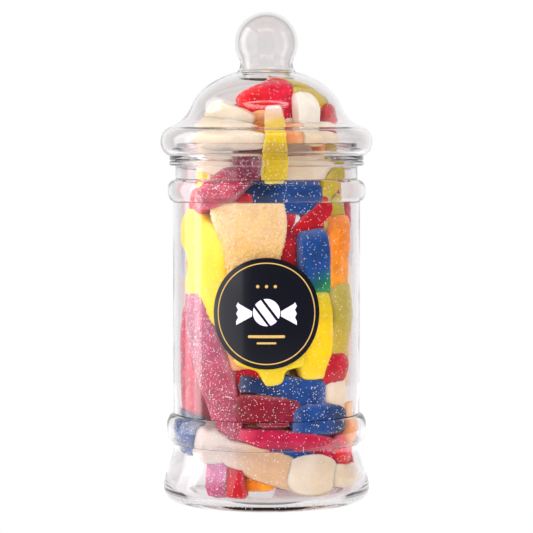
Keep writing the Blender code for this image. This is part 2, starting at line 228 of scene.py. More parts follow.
def place_of(thing: bpy.types.Object) -> np.ndarray:
    """The places of an object's points, as rows.

    Args:
        thing: The object.

    Returns:
        One row of x, y and z for each point.
    """
    flat = np.empty(len(thing.data.vertices) * 3, np.float32)
    thing.data.vertices.foreach_get("co", flat)
    return flat.reshape(-1, 3).astype(np.float64)


def move_points(thing: bpy.types.Object, places: np.ndarray) -> None:
    """Put an object's points at these places."""
    thing.data.vertices.foreach_set("co", places.astype(np.float32).ravel())
    thing.data.update()


def finish_piece(
    piece: bpy.types.Object,
    material: bpy.types.Material,
    node: str,
    crease: float = 35.0,
) -> bpy.types.Object:
    """Dress a finished piece and hand it to the frame.

    Args:
        piece: The piece, with its place in its mesh.
        material: Its only material.
        node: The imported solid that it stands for.
        crease: The angle in degrees past which an edge stays sharp.

    Returns:
        The same piece.
    """
    focus(piece)
    bpy.ops.object.transform_apply(location=True, rotation=True, scale=True)
    piece.data.materials.clear()
    piece.data.materials.append(material)
    bpy.ops.object.shade_smooth_by_angle(angle=math.radians(crease), keep_sharp_edges=False)
    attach(piece, "root")
    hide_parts(node)
    LOG.info("%s: %d faces", piece.name, len(piece.data.polygons))
    return piece


# ---------------------------------------------------------------- outlines of turned pieces


def arc(
    centre: tuple[float, float], reach: tuple[float, float], start: float, end: float, count: int
) -> Outline:
    """Trace an elliptic arc as (radius, height) points.

    Args:
        centre: The ellipse's centre.
        reach: Its half width and half height.
        start: The first angle, in degrees above level.
        end: The last angle.
        count: How many points.

    Returns:
        The points, from start to end.
    """
    angles = np.radians(np.linspace(start, end, count))
    return [(centre[0] + reach[0] * math.cos(a), centre[1] + reach[1] * math.sin(a)) for a in angles]


@dataclass(frozen=True)
class Bead:
    """A rounded ring that swells out of the wall."""

    height: float
    half: float
    crest: float
    above: float
    below: float

    def outline(self, inset: float, count: int = 22) -> Outline:
        """Trace the bead from top to bottom, this far in from its outer face.

        Args:
            inset: How far in.
            count: How many points.

        Returns:
            The points.
        """
        points = []
        for along in np.linspace(0.0, 1.0, count):
            base = self.above + (self.below - self.above) * along
            radius = base + (self.crest - base) * math.sin(math.pi * along) - inset
            points.append((radius, self.height + self.half * math.cos(math.pi * along)))
        return points


def flare(top: tuple[float, float], bottom: tuple[float, float], count: int = 14) -> Outline:
    """Trace an S-curve that is upright at both ends.

    Args:
        top: The upper end, as (radius, height).
        bottom: The lower end.
        count: How many points.

    Returns:
        The points.
    """
    points = []
    for along in np.linspace(0.0, 1.0, count):
        ease = along * along * (3.0 - 2.0 * along)
        points.append((top[0] + (bottom[0] - top[0]) * ease, top[1] + (bottom[1] - top[1]) * along))
    return points


def rounded(outline: Outline, radius: float, steps: int = 4, least_turn: float = 20.0) -> Outline:
    """Round the corners of an outline that turn by more than an angle.

    Args:
        outline: The points of the outline.
        radius: How far from the corner the rounding starts, where the sides are long enough.
        steps: Pieces in each rounded corner.
        least_turn: The angle in degrees under which a corner is left alone.

    Returns:
        The new points.
    """
    points = [Vector(point) for point in outline]
    result = [points[0]]
    for before, corner, after in zip(points, points[1:], points[2:]):
        back, ahead = before - corner, after - corner
        if back.length < 1e-9 or ahead.length < 1e-9:
            continue
        if math.degrees((-back).angle(ahead)) < least_turn:
            result.append(corner)
            continue
        first = corner + back.normalized() * min(radius, back.length * 0.45)
        last = corner + ahead.normalized() * min(radius, ahead.length * 0.45)
        for share in np.linspace(0.0, 1.0, steps + 1):
            result.append(first.lerp(corner, share).lerp(corner.lerp(last, share), share))
    result.append(points[-1])
    return [(point.x, point.y) for point in result]


def turned(name: str, outline: Outline, steps: int = 160) -> bpy.types.Object:
    """Turn an outline that runs from the axis to the axis into a closed shell.

    Args:
        name: The piece's name.
        outline: Its points, as (radius, height).
        steps: How many steps go round.

    Returns:
        The turned piece.
    """
    piece = add_shape(name, bpy.ops.mesh.primitive_plane_add, size=MM, location=(0.0, 0.0, 0.0))
    with editing(piece):
        bpy.ops.mesh.merge(type="CENTER")
        bpy.ops.transform.translate(value=(outline[0][0], 0.0, outline[0][1]))
        for before, after in zip(outline, outline[1:]):
            step = (after[0] - before[0], 0.0, after[1] - before[1])
            bpy.ops.mesh.extrude_vertices_move(TRANSFORM_OT_translate={"value": step})
        bpy.ops.mesh.select_all(action="SELECT")
        bpy.ops.mesh.spin(steps=steps, angle=FULL_TURN, center=(0.0, 0.0, 0.0), axis=(0.0, 0.0, 1.0))
        bpy.ops.mesh.select_all(action="SELECT")
        bpy.ops.mesh.remove_doubles(threshold=MM / 200.0)
        bpy.ops.mesh.normals_make_consistent(inside=False)
    return piece


# ---------------------------------------------------------------- the clear jar and its lid


@dataclass(frozen=True)
class ClearPlastic:
    """Injection-moulded clear PET: colourless, glossy, a little darker where it is seen edge on."""

    name: str
    tint_hex: str = "#f8f5f6"
    ior: float = 1.5
    roughness: float = 0.015
    shade_hex: str = "#c9c6c8"
    shade_per_metre: float = 30.0
    ripple: float = 22.0 * MM
    ripple_depth: float = 0.10 * MM

    def material(self) -> bpy.types.Material:
        """Make the material: smooth glass-like plastic with the long, low ripple of a moulding.

        Returns:
            The material.
        """
        material, tree, shader = new_material(self.name)
        shader.inputs["Base Color"].default_value = linear(self.tint_hex)
        shader.inputs["Roughness"].default_value = self.roughness
        shader.inputs["IOR"].default_value = self.ior
        shader.inputs["Transmission Weight"].default_value = 1.0
        place = add_node(tree, "ShaderNodeTexCoord").outputs["Object"]
        ripple = add_node(
            tree, "ShaderNodeTexNoise", {"Vector": place, "Scale": 1.0 / self.ripple, "Detail": 1.0}
        ).outputs[0]
        bump = add_node(
            tree, "ShaderNodeBump", {"Height": ripple, "Strength": 1.0, "Distance": self.ripple_depth}
        ).outputs[0]
        tree.links.new(bump, shader.inputs["Normal"])
        shade = add_node(
            tree,
            "ShaderNodeVolumeAbsorption",
            {"Color": linear(self.shade_hex), "Density": self.shade_per_metre},
        ).outputs[0]
        tree.links.new(shade, tree.nodes["Material Output"].inputs["Volume"])
        return material


@dataclass
class Jar:
    """The open vessel: a foot, a lower and an upper bead, a neck with a flange, and a mouth."""

    wall: float = 2.0 * MM
    body_radius: float = 44.1 * MM
    neck_radius: float = 42.9 * MM
    mouth_radius: float = 42.6 * MM
    flange_radius: float = 45.8 * MM
    flange_top: float = 160.4 * MM
    flange_thickness: float = 2.4 * MM
    waist: tuple[float, float] = (44.2 * MM, 25.6 * MM)
    foot_corner: float = 6.5 * MM
    rest_width: float = 6.0 * MM
    punt: float = 1.4 * MM
    floor: float = 3.6 * MM
    soft_corner: float = 0.9 * MM
    rim: float = field(init=False)
    foot_radius: float = field(init=False)
    upper_bead: Bead = field(init=False)
    lower_bead: Bead = field(init=False)

    def __post_init__(self) -> None:
        """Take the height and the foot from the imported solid, and set the beads between the radii."""
        low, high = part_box("jar")
        self.rim = high.z
        self.foot_radius = (high.x - low.x) / 2.0
        self.upper_bead = Bead(146.4 * MM, 5.1 * MM, 46.7 * MM, self.neck_radius, self.body_radius)
        self.lower_bead = Bead(34.5 * MM, 6.7 * MM, 47.4 * MM, self.body_radius, self.waist[0])

    def outside(self) -> Outline:
        """The outer face, from the rim down to the middle of the underside.

        Returns:
            The points.
        """
        flange_bottom = self.flange_top - self.flange_thickness
        corner = (self.foot_radius - self.foot_corner, self.foot_corner)
        rest_inner = corner[0] - self.rest_width
        return [
            (self.mouth_radius, self.rim),
            (self.mouth_radius, self.flange_top),
            (self.flange_radius, self.flange_top),
            (self.flange_radius, flange_bottom),
            (self.neck_radius, flange_bottom),
            *self.upper_bead.outline(0.0),
            *self.lower_bead.outline(0.0),
            *flare(self.waist, (self.foot_radius, self.foot_corner)),
            *arc(corner, (self.foot_corner, self.foot_corner), -10.0, -90.0, 9),
            (rest_inner, 0.0),
            (rest_inner - self.punt, self.punt),
            (0.0, self.punt),
        ]

    def inside(self) -> Outline:
        """The inner face, from the middle of the floor up to the rim.

        Returns:
            The points.
        """
        reach = self.foot_corner - self.wall
        corner = (self.foot_radius - self.foot_corner, self.floor + reach)
        inner_mouth = self.mouth_radius - self.wall
        upper = replace(self.upper_bead, above=self.mouth_radius)
        waist = (self.waist[0] - self.wall, self.waist[1])
        down = [
            (inner_mouth, self.rim),
            *upper.outline(self.wall),
            *self.lower_bead.outline(self.wall),
            *flare(waist, (self.foot_radius - self.wall, corner[1]))[:-1],
            *arc(corner, (reach, reach), 0.0, -90.0, 8),
            (0.0, self.floor),
        ]
        return down[::-1]

    def build(self) -> bpy.types.Object:
        """Turn the jar and dress it in clear plastic.

        Returns:
            The jar.
        """
        piece = turned("jar_shell", rounded(self.inside() + self.outside(), self.soft_corner))
        piece.visible_shadow = False
        plastic = ClearPlastic("moulded_clear_pet")
        return finish_piece(piece, plastic.material(), "jar", crease=50.0)


@dataclass
class Lid:
    """The lid: a round knob on a short neck, a dome, and a fat rolled rim over the jar's mouth."""

    wall: float = 2.0 * MM
    lip_inner: float = 43.5 * MM
    bulge_centre: tuple[float, float] = (43.5 * MM, 169.3 * MM)
    bulge_half: float = 7.2 * MM
    dome_radius: float = 36.2 * MM
    dome_foot: float = 181.0 * MM
    dome_rise: float = 22.7 * MM
    knob_radius: float = 14.8 * MM
    neck: tuple[float, float] = (12.2 * MM, 205.0 * MM)
    knob_stop: float = -32.0
    dome_start: float = 68.0
    dome_end: float = 14.0
    bulge_arc: tuple[float, float] = (72.0, -70.0)
    shoulder: tuple[float, float] = (38.1 * MM, 178.9 * MM)
    soft_corner: float = 2.6 * MM
    lip: float = field(init=False)
    knob_height: float = field(init=False)
    bulge_reach: float = field(init=False)

    def __post_init__(self) -> None:
        """Take the lip, the knob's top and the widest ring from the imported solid."""
        low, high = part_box("lid")
        self.lip = low.z
        self.knob_height = high.z - self.knob_radius
        self.bulge_reach = high.x - self.bulge_centre[0]

    def shell(self, inset: float) -> Outline:
        """Trace one face from the top of the knob to the lip.

        Args:
            inset: How far in from the outside.

        Returns:
            The points.
        """
        knob = self.knob_radius - inset
        dome = (self.dome_radius - inset, self.dome_rise - inset)
        bulge = (self.bulge_reach - inset, self.bulge_half - inset)
        side = arc((0.0, self.dome_foot), dome, self.dome_start, self.dome_end, 22)
        rim = arc(self.bulge_centre, bulge, *self.bulge_arc, 26)
        top, bottom = Vector(side[-1]), Vector(rim[0])
        middle = Vector((self.shoulder[0] - inset, self.shoulder[1] - inset / 2.0))
        bends = [
            top.lerp(middle, share).lerp(middle.lerp(bottom, share), share)
            for share in np.linspace(0.0, 1.0, 9)[1:-1]
        ]
        return [
            (0.0, self.knob_height + knob),
            *arc((0.0, self.knob_height), (knob, knob), 90.0, self.knob_stop, 28)[1:],
            (self.neck[0] - inset, self.neck[1]),
            *side,
            *((point.x, point.y) for point in bends),
            *rim,
        ]

    def build(self) -> bpy.types.Object:
        """Turn the lid and dress it in clear plastic.

        Returns:
            The lid.
        """
        outside = rounded(self.shell(0.0), self.soft_corner)
        inside = rounded(self.shell(self.wall), self.soft_corner)
        lip = [(outside[-1][0], self.lip), (self.lip_inner, self.lip)]
        piece = turned("lid_shell", outside + lip + inside[::-1])
        piece.visible_shadow = False
        plastic = ClearPlastic("moulded_clear_pet_lid", tint_hex="#f7f4f4")
        return finish_piece(piece, plastic.material(), "lid", crease=50.0)


# ---------------------------------------------------------------- the room that holds the sweets


@dataclass
class Room:
    """The space inside the jar and the lid, and how a sweet lies in it."""

    jar: Jar
    lid: Lid
    clear: float = 0.6 * MM
    soft_reach: float = 1.2 * MM
    least_bend: float = 34.0 * MM
    most_spare: float = 2.0 * MM
    heights: np.ndarray = field(init=False)
    radii: np.ndarray = field(init=False)

    def __post_init__(self) -> None:
        """Read the inner face of the jar and the dome as heights and radii."""
        shoulder = self.lid.bulge_centre[1] + self.lid.bulge_half - 2.0 * self.lid.wall
        dome = (self.lid.dome_radius - self.lid.wall, self.lid.dome_rise - self.lid.wall)
        mouth = self.jar.mouth_radius - self.jar.wall
        points = self.jar.inside()[1:] + [(mouth, shoulder)]
        points += arc((0.0, self.lid.dome_foot), dome, 0.0, 84.0, 20)
        self.heights = np.array([height for _, height in points])
        self.radii = np.array([radius for radius, _ in points])

    def radius(self, height: np.ndarray | float) -> np.ndarray:
        """The room's radius at a height."""
        return np.interp(height, self.heights, self.radii)

    def snug(self, height: np.ndarray) -> np.ndarray:
        """The radius that a sweet may reach at a height, clear of the ridges near it."""
        steps = (-1.0, 0.0, 1.0)
        return np.min([self.radius(height + step * self.soft_reach) for step in steps], axis=0) - self.clear

    def lay(self, points: np.ndarray, sweet: "Sweet") -> np.ndarray:
        """Lay a sweet: leant, tipped, bent with the jar's wall and kept inside it.

        Args:
            points: The sweet's points in the mould, as across, out and along, from -1 to 1.
            sweet: The sweet, with its size and place.

        Returns:
            The points in the jar.
        """
        across, out, along = (points * np.array([sweet.width, sweet.thickness, sweet.length]) * MM / 2.0).T
        height, inset = sweet.height * MM, sweet.inset * MM
        radius = float(self.radius(height)) - self.clear - inset - sweet.thickness * MM / 2.0
        turn, tip, facing = np.radians((sweet.lean, sweet.tip, sweet.azimuth))
        side = across * math.cos(turn) + along * math.sin(turn)
        rise = along * math.cos(turn) - across * math.sin(turn)
        level = np.maximum(height + rise * math.cos(tip), self.jar.floor + self.clear + inset / 2.0)
        bend = max(radius, self.least_bend)
        reach = bend + out - rise * math.sin(tip)
        outward = radius + reach * np.cos(side / bend) - bend
        sideways = reach * np.sin(side / bend)
        limit = self.snug(level) - min(inset, self.most_spare)
        share = np.minimum(1.0, limit / np.hypot(outward, sideways))
        outward, sideways = outward * share, sideways * share
        x = math.sin(facing) * outward + math.cos(facing) * sideways
        y = -math.cos(facing) * outward + math.sin(facing) * sideways
        return np.column_stack([x, y, level])


# ---------------------------------------------------------------- the kinds and colours of sweets


class Kind(Enum):
    """The moulds: stations along the sweet, from -1 to 1, and at each of them its share of the
    width and of the thickness."""

    BOTTLE = (
        (-1.0, -0.9, -0.68, -0.6, -0.52, 0.0, 0.2, 0.42, 0.66, 0.74, 0.94, 1.0),
        (0.72, 0.96, 1.0, 0.93, 1.0, 0.97, 0.82, 0.52, 0.45, 0.56, 0.54, 0.42),
        (0.8, 0.95, 1.0, 0.93, 1.0, 1.0, 0.95, 0.8, 0.72, 0.78, 0.76, 0.6),
    )
    FINGER = (
        (-1.0, -0.93, -0.6, 0.0, 0.6, 0.93, 1.0),
        (0.6, 0.86, 1.0, 0.97, 0.95, 0.8, 0.55),
        (0.7, 0.92, 1.0, 1.0, 0.98, 0.9, 0.68),
    )
    SPINDLE = (
        (-1.0, -0.9, -0.6, -0.2, 0.25, 0.62, 0.9, 1.0),
        (0.34, 0.54, 0.82, 1.0, 0.97, 0.78, 0.52, 0.34),
        (0.5, 0.72, 0.92, 1.0, 1.0, 0.92, 0.7, 0.5),
    )
    HORN = (
        (-1.0, -0.9, -0.5, 0.0, 0.5, 0.9, 1.0),
        (0.5, 0.78, 0.98, 1.0, 0.8, 0.52, 0.36),
        (0.6, 0.85, 1.0, 1.0, 0.95, 0.8, 0.55),
    )
    SHIELD = (
        (-1.0, -0.93, -0.5, 0.0, 0.5, 0.9, 1.0),
        (0.4, 0.5, 0.64, 0.84, 0.97, 1.0, 0.9),
        (0.7, 0.9, 1.0, 1.0, 1.0, 0.95, 0.8),
    )
    BLOCK = (
        (-1.0, -0.84, -0.2, 0.3, 0.84, 1.0),
        (0.72, 0.94, 1.0, 0.97, 0.86, 0.62),
        (0.75, 0.96, 1.0, 1.0, 0.92, 0.7),
    )
    PEBBLE = (
        (-1.0, -0.86, -0.4, 0.1, 0.6, 0.88, 1.0),
        (0.5, 0.8, 0.98, 1.0, 0.9, 0.7, 0.44),
        (0.6, 0.85, 1.0, 1.0, 0.97, 0.82, 0.56),
    )
    STUB = (
        (-1.0, -0.93, -0.6, -0.36, -0.15, 0.5, 0.88, 1.0),
        (0.6, 0.88, 1.0, 0.97, 0.86, 0.85, 0.78, 0.52),
        (0.7, 0.92, 1.0, 1.0, 0.95, 0.93, 0.86, 0.6),
    )
    FLASK = (
        (-1.0, -0.9, 0.0, 0.5, 0.6, 0.65, 0.7, 0.9, 1.0),
        (0.7, 0.96, 1.0, 1.0, 0.88, 0.5, 0.34, 0.3, 0.2),
        (0.8, 0.95, 1.0, 1.0, 0.95, 0.85, 0.75, 0.66, 0.45),
    )
    FLAGON = (
        (-1.0, -0.93, -0.74, -0.5, -0.4, -0.28, 0.1, 0.42, 0.5, 0.56, 0.74, 0.8, 0.86, 1.0),
        (0.6, 0.86, 1.0, 0.98, 0.86, 0.88, 0.84, 0.68, 0.62, 0.84, 0.88, 0.76, 0.82, 0.72),
        (0.7, 0.92, 1.0, 1.0, 0.9, 0.96, 0.95, 0.88, 0.8, 0.94, 0.96, 0.9, 0.94, 0.8),
    )
    SNAKE = (
        (-1.0, -0.875, -0.75, -0.5, -0.25, 0.0, 0.25, 0.5, 0.75, 0.875, 1.0),
        (0.55, 0.85, 1.0, 1.0, 1.0, 1.0, 1.0, 1.0, 1.0, 0.85, 0.55),
        (0.7, 1.0, 1.0, 1.0, 1.0, 1.0, 1.0, 1.0, 1.0, 1.0, 0.7),
    )

    def swing(self, along: float) -> float:
        """How far the sweet swings sideways at a place along it: only the snake does."""
        return 0.32 * math.sin(FULL_TURN * along) if self is Kind.SNAKE else 0.0

    @property
    def stations(self) -> Iterator[tuple[float, float, float]]:
        """Its stations, each as the place along it, the share of the width and of the thickness."""
        return zip(*self.value)


class Flavour(Enum):
    """The colours: piece name, colour of the body, colour of its upper end, how far up the sweet
    the one turns into the other, and share of sugar."""

    LEMON = ("lemon", "#fbd000", "#fbd81c", 0.5, 0.25)
    CLEAR_TOP = ("clear_top", "#dfc200", "#e4c8ba", 0.8, 0.6)
    GOLDEN = ("golden", "#fbd000", "#d3bd10", 0.72, 0.25)
    SHELL = ("shell", "#e8bc6c", "#ecc88c", 0.5, 0.95)
    PEARL = ("pearl", "#dac9ae", "#ddd0bc", 0.5, 0.2)
    CREAM = ("cream", "#e4ccae", "#e9d6be", 0.5, 0.12)
    TEA = ("milk_tea", "#d4b08c", "#cfc2ba", 0.62, 0.4)
    MILK = ("milk", "#e8e1d4", "#ebe5da", 0.5, 0.2)
    PEACH = ("peach", "#ea9c60", "#f0b484", 0.5, 0.3)
    ORANGE = ("orange", "#f98e06", "#f99a1e", 0.5, 0.35)
    CHERRY = ("cherry", "#c4021c", "#c80628", 0.5, 0.3)
    HOT_PINK = ("hot_pink", "#ee0018", "#ec0a3e", 0.5, 0.45)
    WINE = ("wine", "#900424", "#9c0a36", 0.5, 0.5)
    PLUM = ("plum", "#bc2c50", "#8a2448", 0.6, 1.0)
    PINK = ("pink", "#b03468", "#cc78a2", 0.45, 0.9)
    LILAC = ("lilac", "#b43c6a", "#b02450", 0.45, 1.0)
    ROSE = ("rose", "#c60042", "#c80c4c", 0.5, 0.35)
    NAVY = ("navy", "#0a4a94", "#123466", 0.62, 0.5)
    RIVER = ("river", "#128a4c", "#0c4a92", 0.26, 0.4)
    OLIVE = ("olive", "#c8ae38", "#b4a43c", 0.5, 0.3)

    @property
    def piece(self) -> str:
        """The name of the piece that holds all its sweets."""
        return f"sweets_{self.value[0]}"

    @property
    def sugar(self) -> float:
        """Its share of sugar."""
        return self.value[4]


@dataclass(frozen=True)
class SugaredJelly:
    """Set jelly rolled in caster sugar: translucent, soft inside, with white grains that catch the light."""

    flavour: Flavour
    grain: float = 0.7 * MM
    clump: float = 5.0 * MM
    marbling: float = 11.0 * MM
    cloud: float = 6.0 * MM
    blend: float = 0.12
    marble_share: float = 0.3
    dark_green_below: float = 0.3
    dark_depth: float = 0.72
    pale_depth: float = 0.94
    light_depth: float = 1.03
    grain_cover: float = 0.24
    frost_cover: float = 0.04
    # Painted rim light, partly frost: the white laid on the rims, as the least share and the share that grows
    # with the sugar.
    rim_light_and_frost: tuple[float, float] = (0.03, 0.12)
    sugar_hex: str = "#fbf6f4"
    relief: float = 0.12 * MM
    ior: float = 1.45
    gloss: float = 0.35
    softness: float = 0.7
    scatter: float = 5.0 * MM

    def body(self, tree: bpy.types.NodeTree, place: bpy.types.NodeSocket) -> bpy.types.NodeSocket:
        """Colour the jelly: one end's colour runs into the other's, with deeper and lighter places.

        Args:
            tree: The material's node tree.
            place: The socket that gives the place on the piece.

        Returns:
            The socket that gives the colour.
        """
        _, body_hex, end_hex, change, _ = self.flavour.value
        tone = add_node(tree, "ShaderNodeAttribute", attribute_name="tone").outputs["Fac"]
        marble = add_node(
            tree, "ShaderNodeTexNoise", {"Vector": place, "Scale": 1.0 / self.marbling, "Detail": 2.0}
        ).outputs[0]
        shifted = add_node(
            tree, "ShaderNodeMath", {0: marble, 1: self.marble_share, 2: tone}, operation="MULTIPLY_ADD"
        ).outputs[0]
        # The marbling is 0.5 on average, so it adds half of its share to the tone.
        middle = change + self.marble_share / 2.0
        end_share = add_node(
            tree,
            "ShaderNodeMapRange",
            {0: shifted, 1: middle - self.blend, 2: middle + self.blend, 3: 0.0, 4: 1.0},
            clamp=True,
        ).outputs[0]
        colour = add_node(
            tree, "ShaderNodeMix", {0: end_share, 6: linear(body_hex), 7: linear(end_hex)}, data_type="RGBA"
        ).outputs[2]
        # Dark jelly looks deeper in places, and pale jelly is clean.
        deep = self.dark_depth if linear(body_hex)[1] < self.dark_green_below else self.pale_depth
        cloud = add_node(
            tree, "ShaderNodeTexNoise", {"Vector": place, "Scale": 1.0 / self.cloud, "Detail": 2.0}
        ).outputs[0]
        shade = add_node(
            tree, "ShaderNodeMapRange", {0: cloud, 1: 0.35, 2: 0.65, 3: deep, 4: self.light_depth}, clamp=True
        ).outputs[0]
        return add_node(
            tree, "ShaderNodeMix", {0: 1.0, 6: colour, 7: shade}, data_type="RGBA", blend_type="MULTIPLY"
        ).outputs[2]

    def sugar(
        self, tree: bpy.types.NodeTree, place: bpy.types.NodeSocket
    ) -> tuple[bpy.types.NodeSocket, bpy.types.NodeSocket]:
        """Lay the sugar: grains in clumps and a thin frost, with painted rim light along the rims, where they
        are painted whiter, partly as thicker frost.

        Args:
            tree: The material's node tree.
            place: The socket that gives the place on the piece.

        Returns:
            The sockets that give the grains alone and the whole sugar with its painted rim light.
        """
        sugar = self.flavour.sugar
        cells = add_node(
            tree, "ShaderNodeTexVoronoi", {"Vector": place, "Scale": 1.0 / self.grain}, feature="F1"
        ).outputs["Distance"]
        clumps = add_node(
            tree, "ShaderNodeTexNoise", {"Vector": place, "Scale": 1.0 / self.clump, "Detail": 3.0}
        ).outputs[0]
        edge = add_node(tree, "ShaderNodeAttribute", attribute_name="edge").outputs["Fac"]
        ramps = []
        for source, low, high, most in (
            (clumps, 0.35, 0.7, self.grain_cover * sugar),
            (clumps, 0.3, 0.8, self.frost_cover * sugar),
            # Painted rim light, partly frost: the rims are painted whiter, as thin jelly looks lit there.
            (edge, 0.7, 1.0, self.rim_light_and_frost[0] + self.rim_light_and_frost[1] * sugar),
        ):
            inputs = {0: source, 1: low, 2: high, 3: 0.0, 4: most}
            ramps.append(add_node(tree, "ShaderNodeMapRange", inputs, clamp=True).outputs[0])
        size, frost, rim = ramps
        nearness = add_node(tree, "ShaderNodeMath", {0: size, 1: cells}, operation="SUBTRACT").outputs[0]
        grains = add_node(
            tree, "ShaderNodeMapRange", {0: nearness, 1: -0.03, 2: 0.08, 3: 0.0, 4: 0.85}, clamp=True
        ).outputs[0]
        # From here the frost also carries the painted rim light.
        frost = add_node(tree, "ShaderNodeMath", {0: frost, 1: rim}, operation="ADD").outputs[0]
        sugar_and_rim_light = add_node(tree, "ShaderNodeMath", {0: grains, 1: frost}, operation="MAXIMUM").outputs[0]
        return grains, sugar_and_rim_light

    def material(self) -> bpy.types.Material:
        """Make the material: the jelly, the sugar over it with its painted rim light, and the sugar's grainy
        relief.

        Returns:
            The material.
        """
        material, tree, shader = new_material(f"sugared_jelly_{self.flavour.value[0]}")
        place = add_node(tree, "ShaderNodeTexCoord").outputs["Object"]
        grains, sugar_and_rim_light = self.sugar(tree, place)
        colour = add_node(
            tree,
            "ShaderNodeMix",
            {0: sugar_and_rim_light, 6: self.body(tree, place), 7: linear(self.sugar_hex)},
            data_type="RGBA",
        ).outputs[2]
        fine = add_node(
            tree, "ShaderNodeTexNoise", {"Vector": place, "Scale": 2.0 / self.grain, "Detail": 3.0}
        ).outputs[0]
        height = add_node(
            tree, "ShaderNodeMath", {0: fine, 1: 0.5, 2: grains}, operation="MULTIPLY_ADD"
        ).outputs[0]
        bump = add_node(
            tree, "ShaderNodeBump", {"Height": height, "Strength": 0.7, "Distance": self.relief}
        ).outputs[0]
        rough = add_node(tree, "ShaderNodeMapRange", {0: sugar_and_rim_light, 1: 0.0, 2: 0.8, 3: 0.30, 4: 0.55}).outputs[0]
        for socket, source in (("Base Color", colour), ("Roughness", rough), ("Normal", bump)):
            tree.links.new(source, shader.inputs[socket])
        shader.inputs["IOR"].default_value = self.ior
        shader.inputs["Specular IOR Level"].default_value = self.gloss
        shader.inputs["Subsurface Weight"].default_value = self.softness
        shader.inputs["Subsurface Radius"].default_value = (1.0, 0.8, 0.6)
        shader.inputs["Subsurface Scale"].default_value = self.scatter
        return material


@dataclass(frozen=True)
class Sweet:
    """One sweet: its mould and flavour, then where its middle is, how it leans from upright
    towards +azimuth, its size, how far in from the glass it is and how far its upper end tips
    in. Degrees and millimetres."""

    kind: Kind
    flavour: Flavour
    azimuth: float
    height: float
    lean: float
    length: float
    width: float
    thickness: float
    inset: float
    tip: float = 0.0


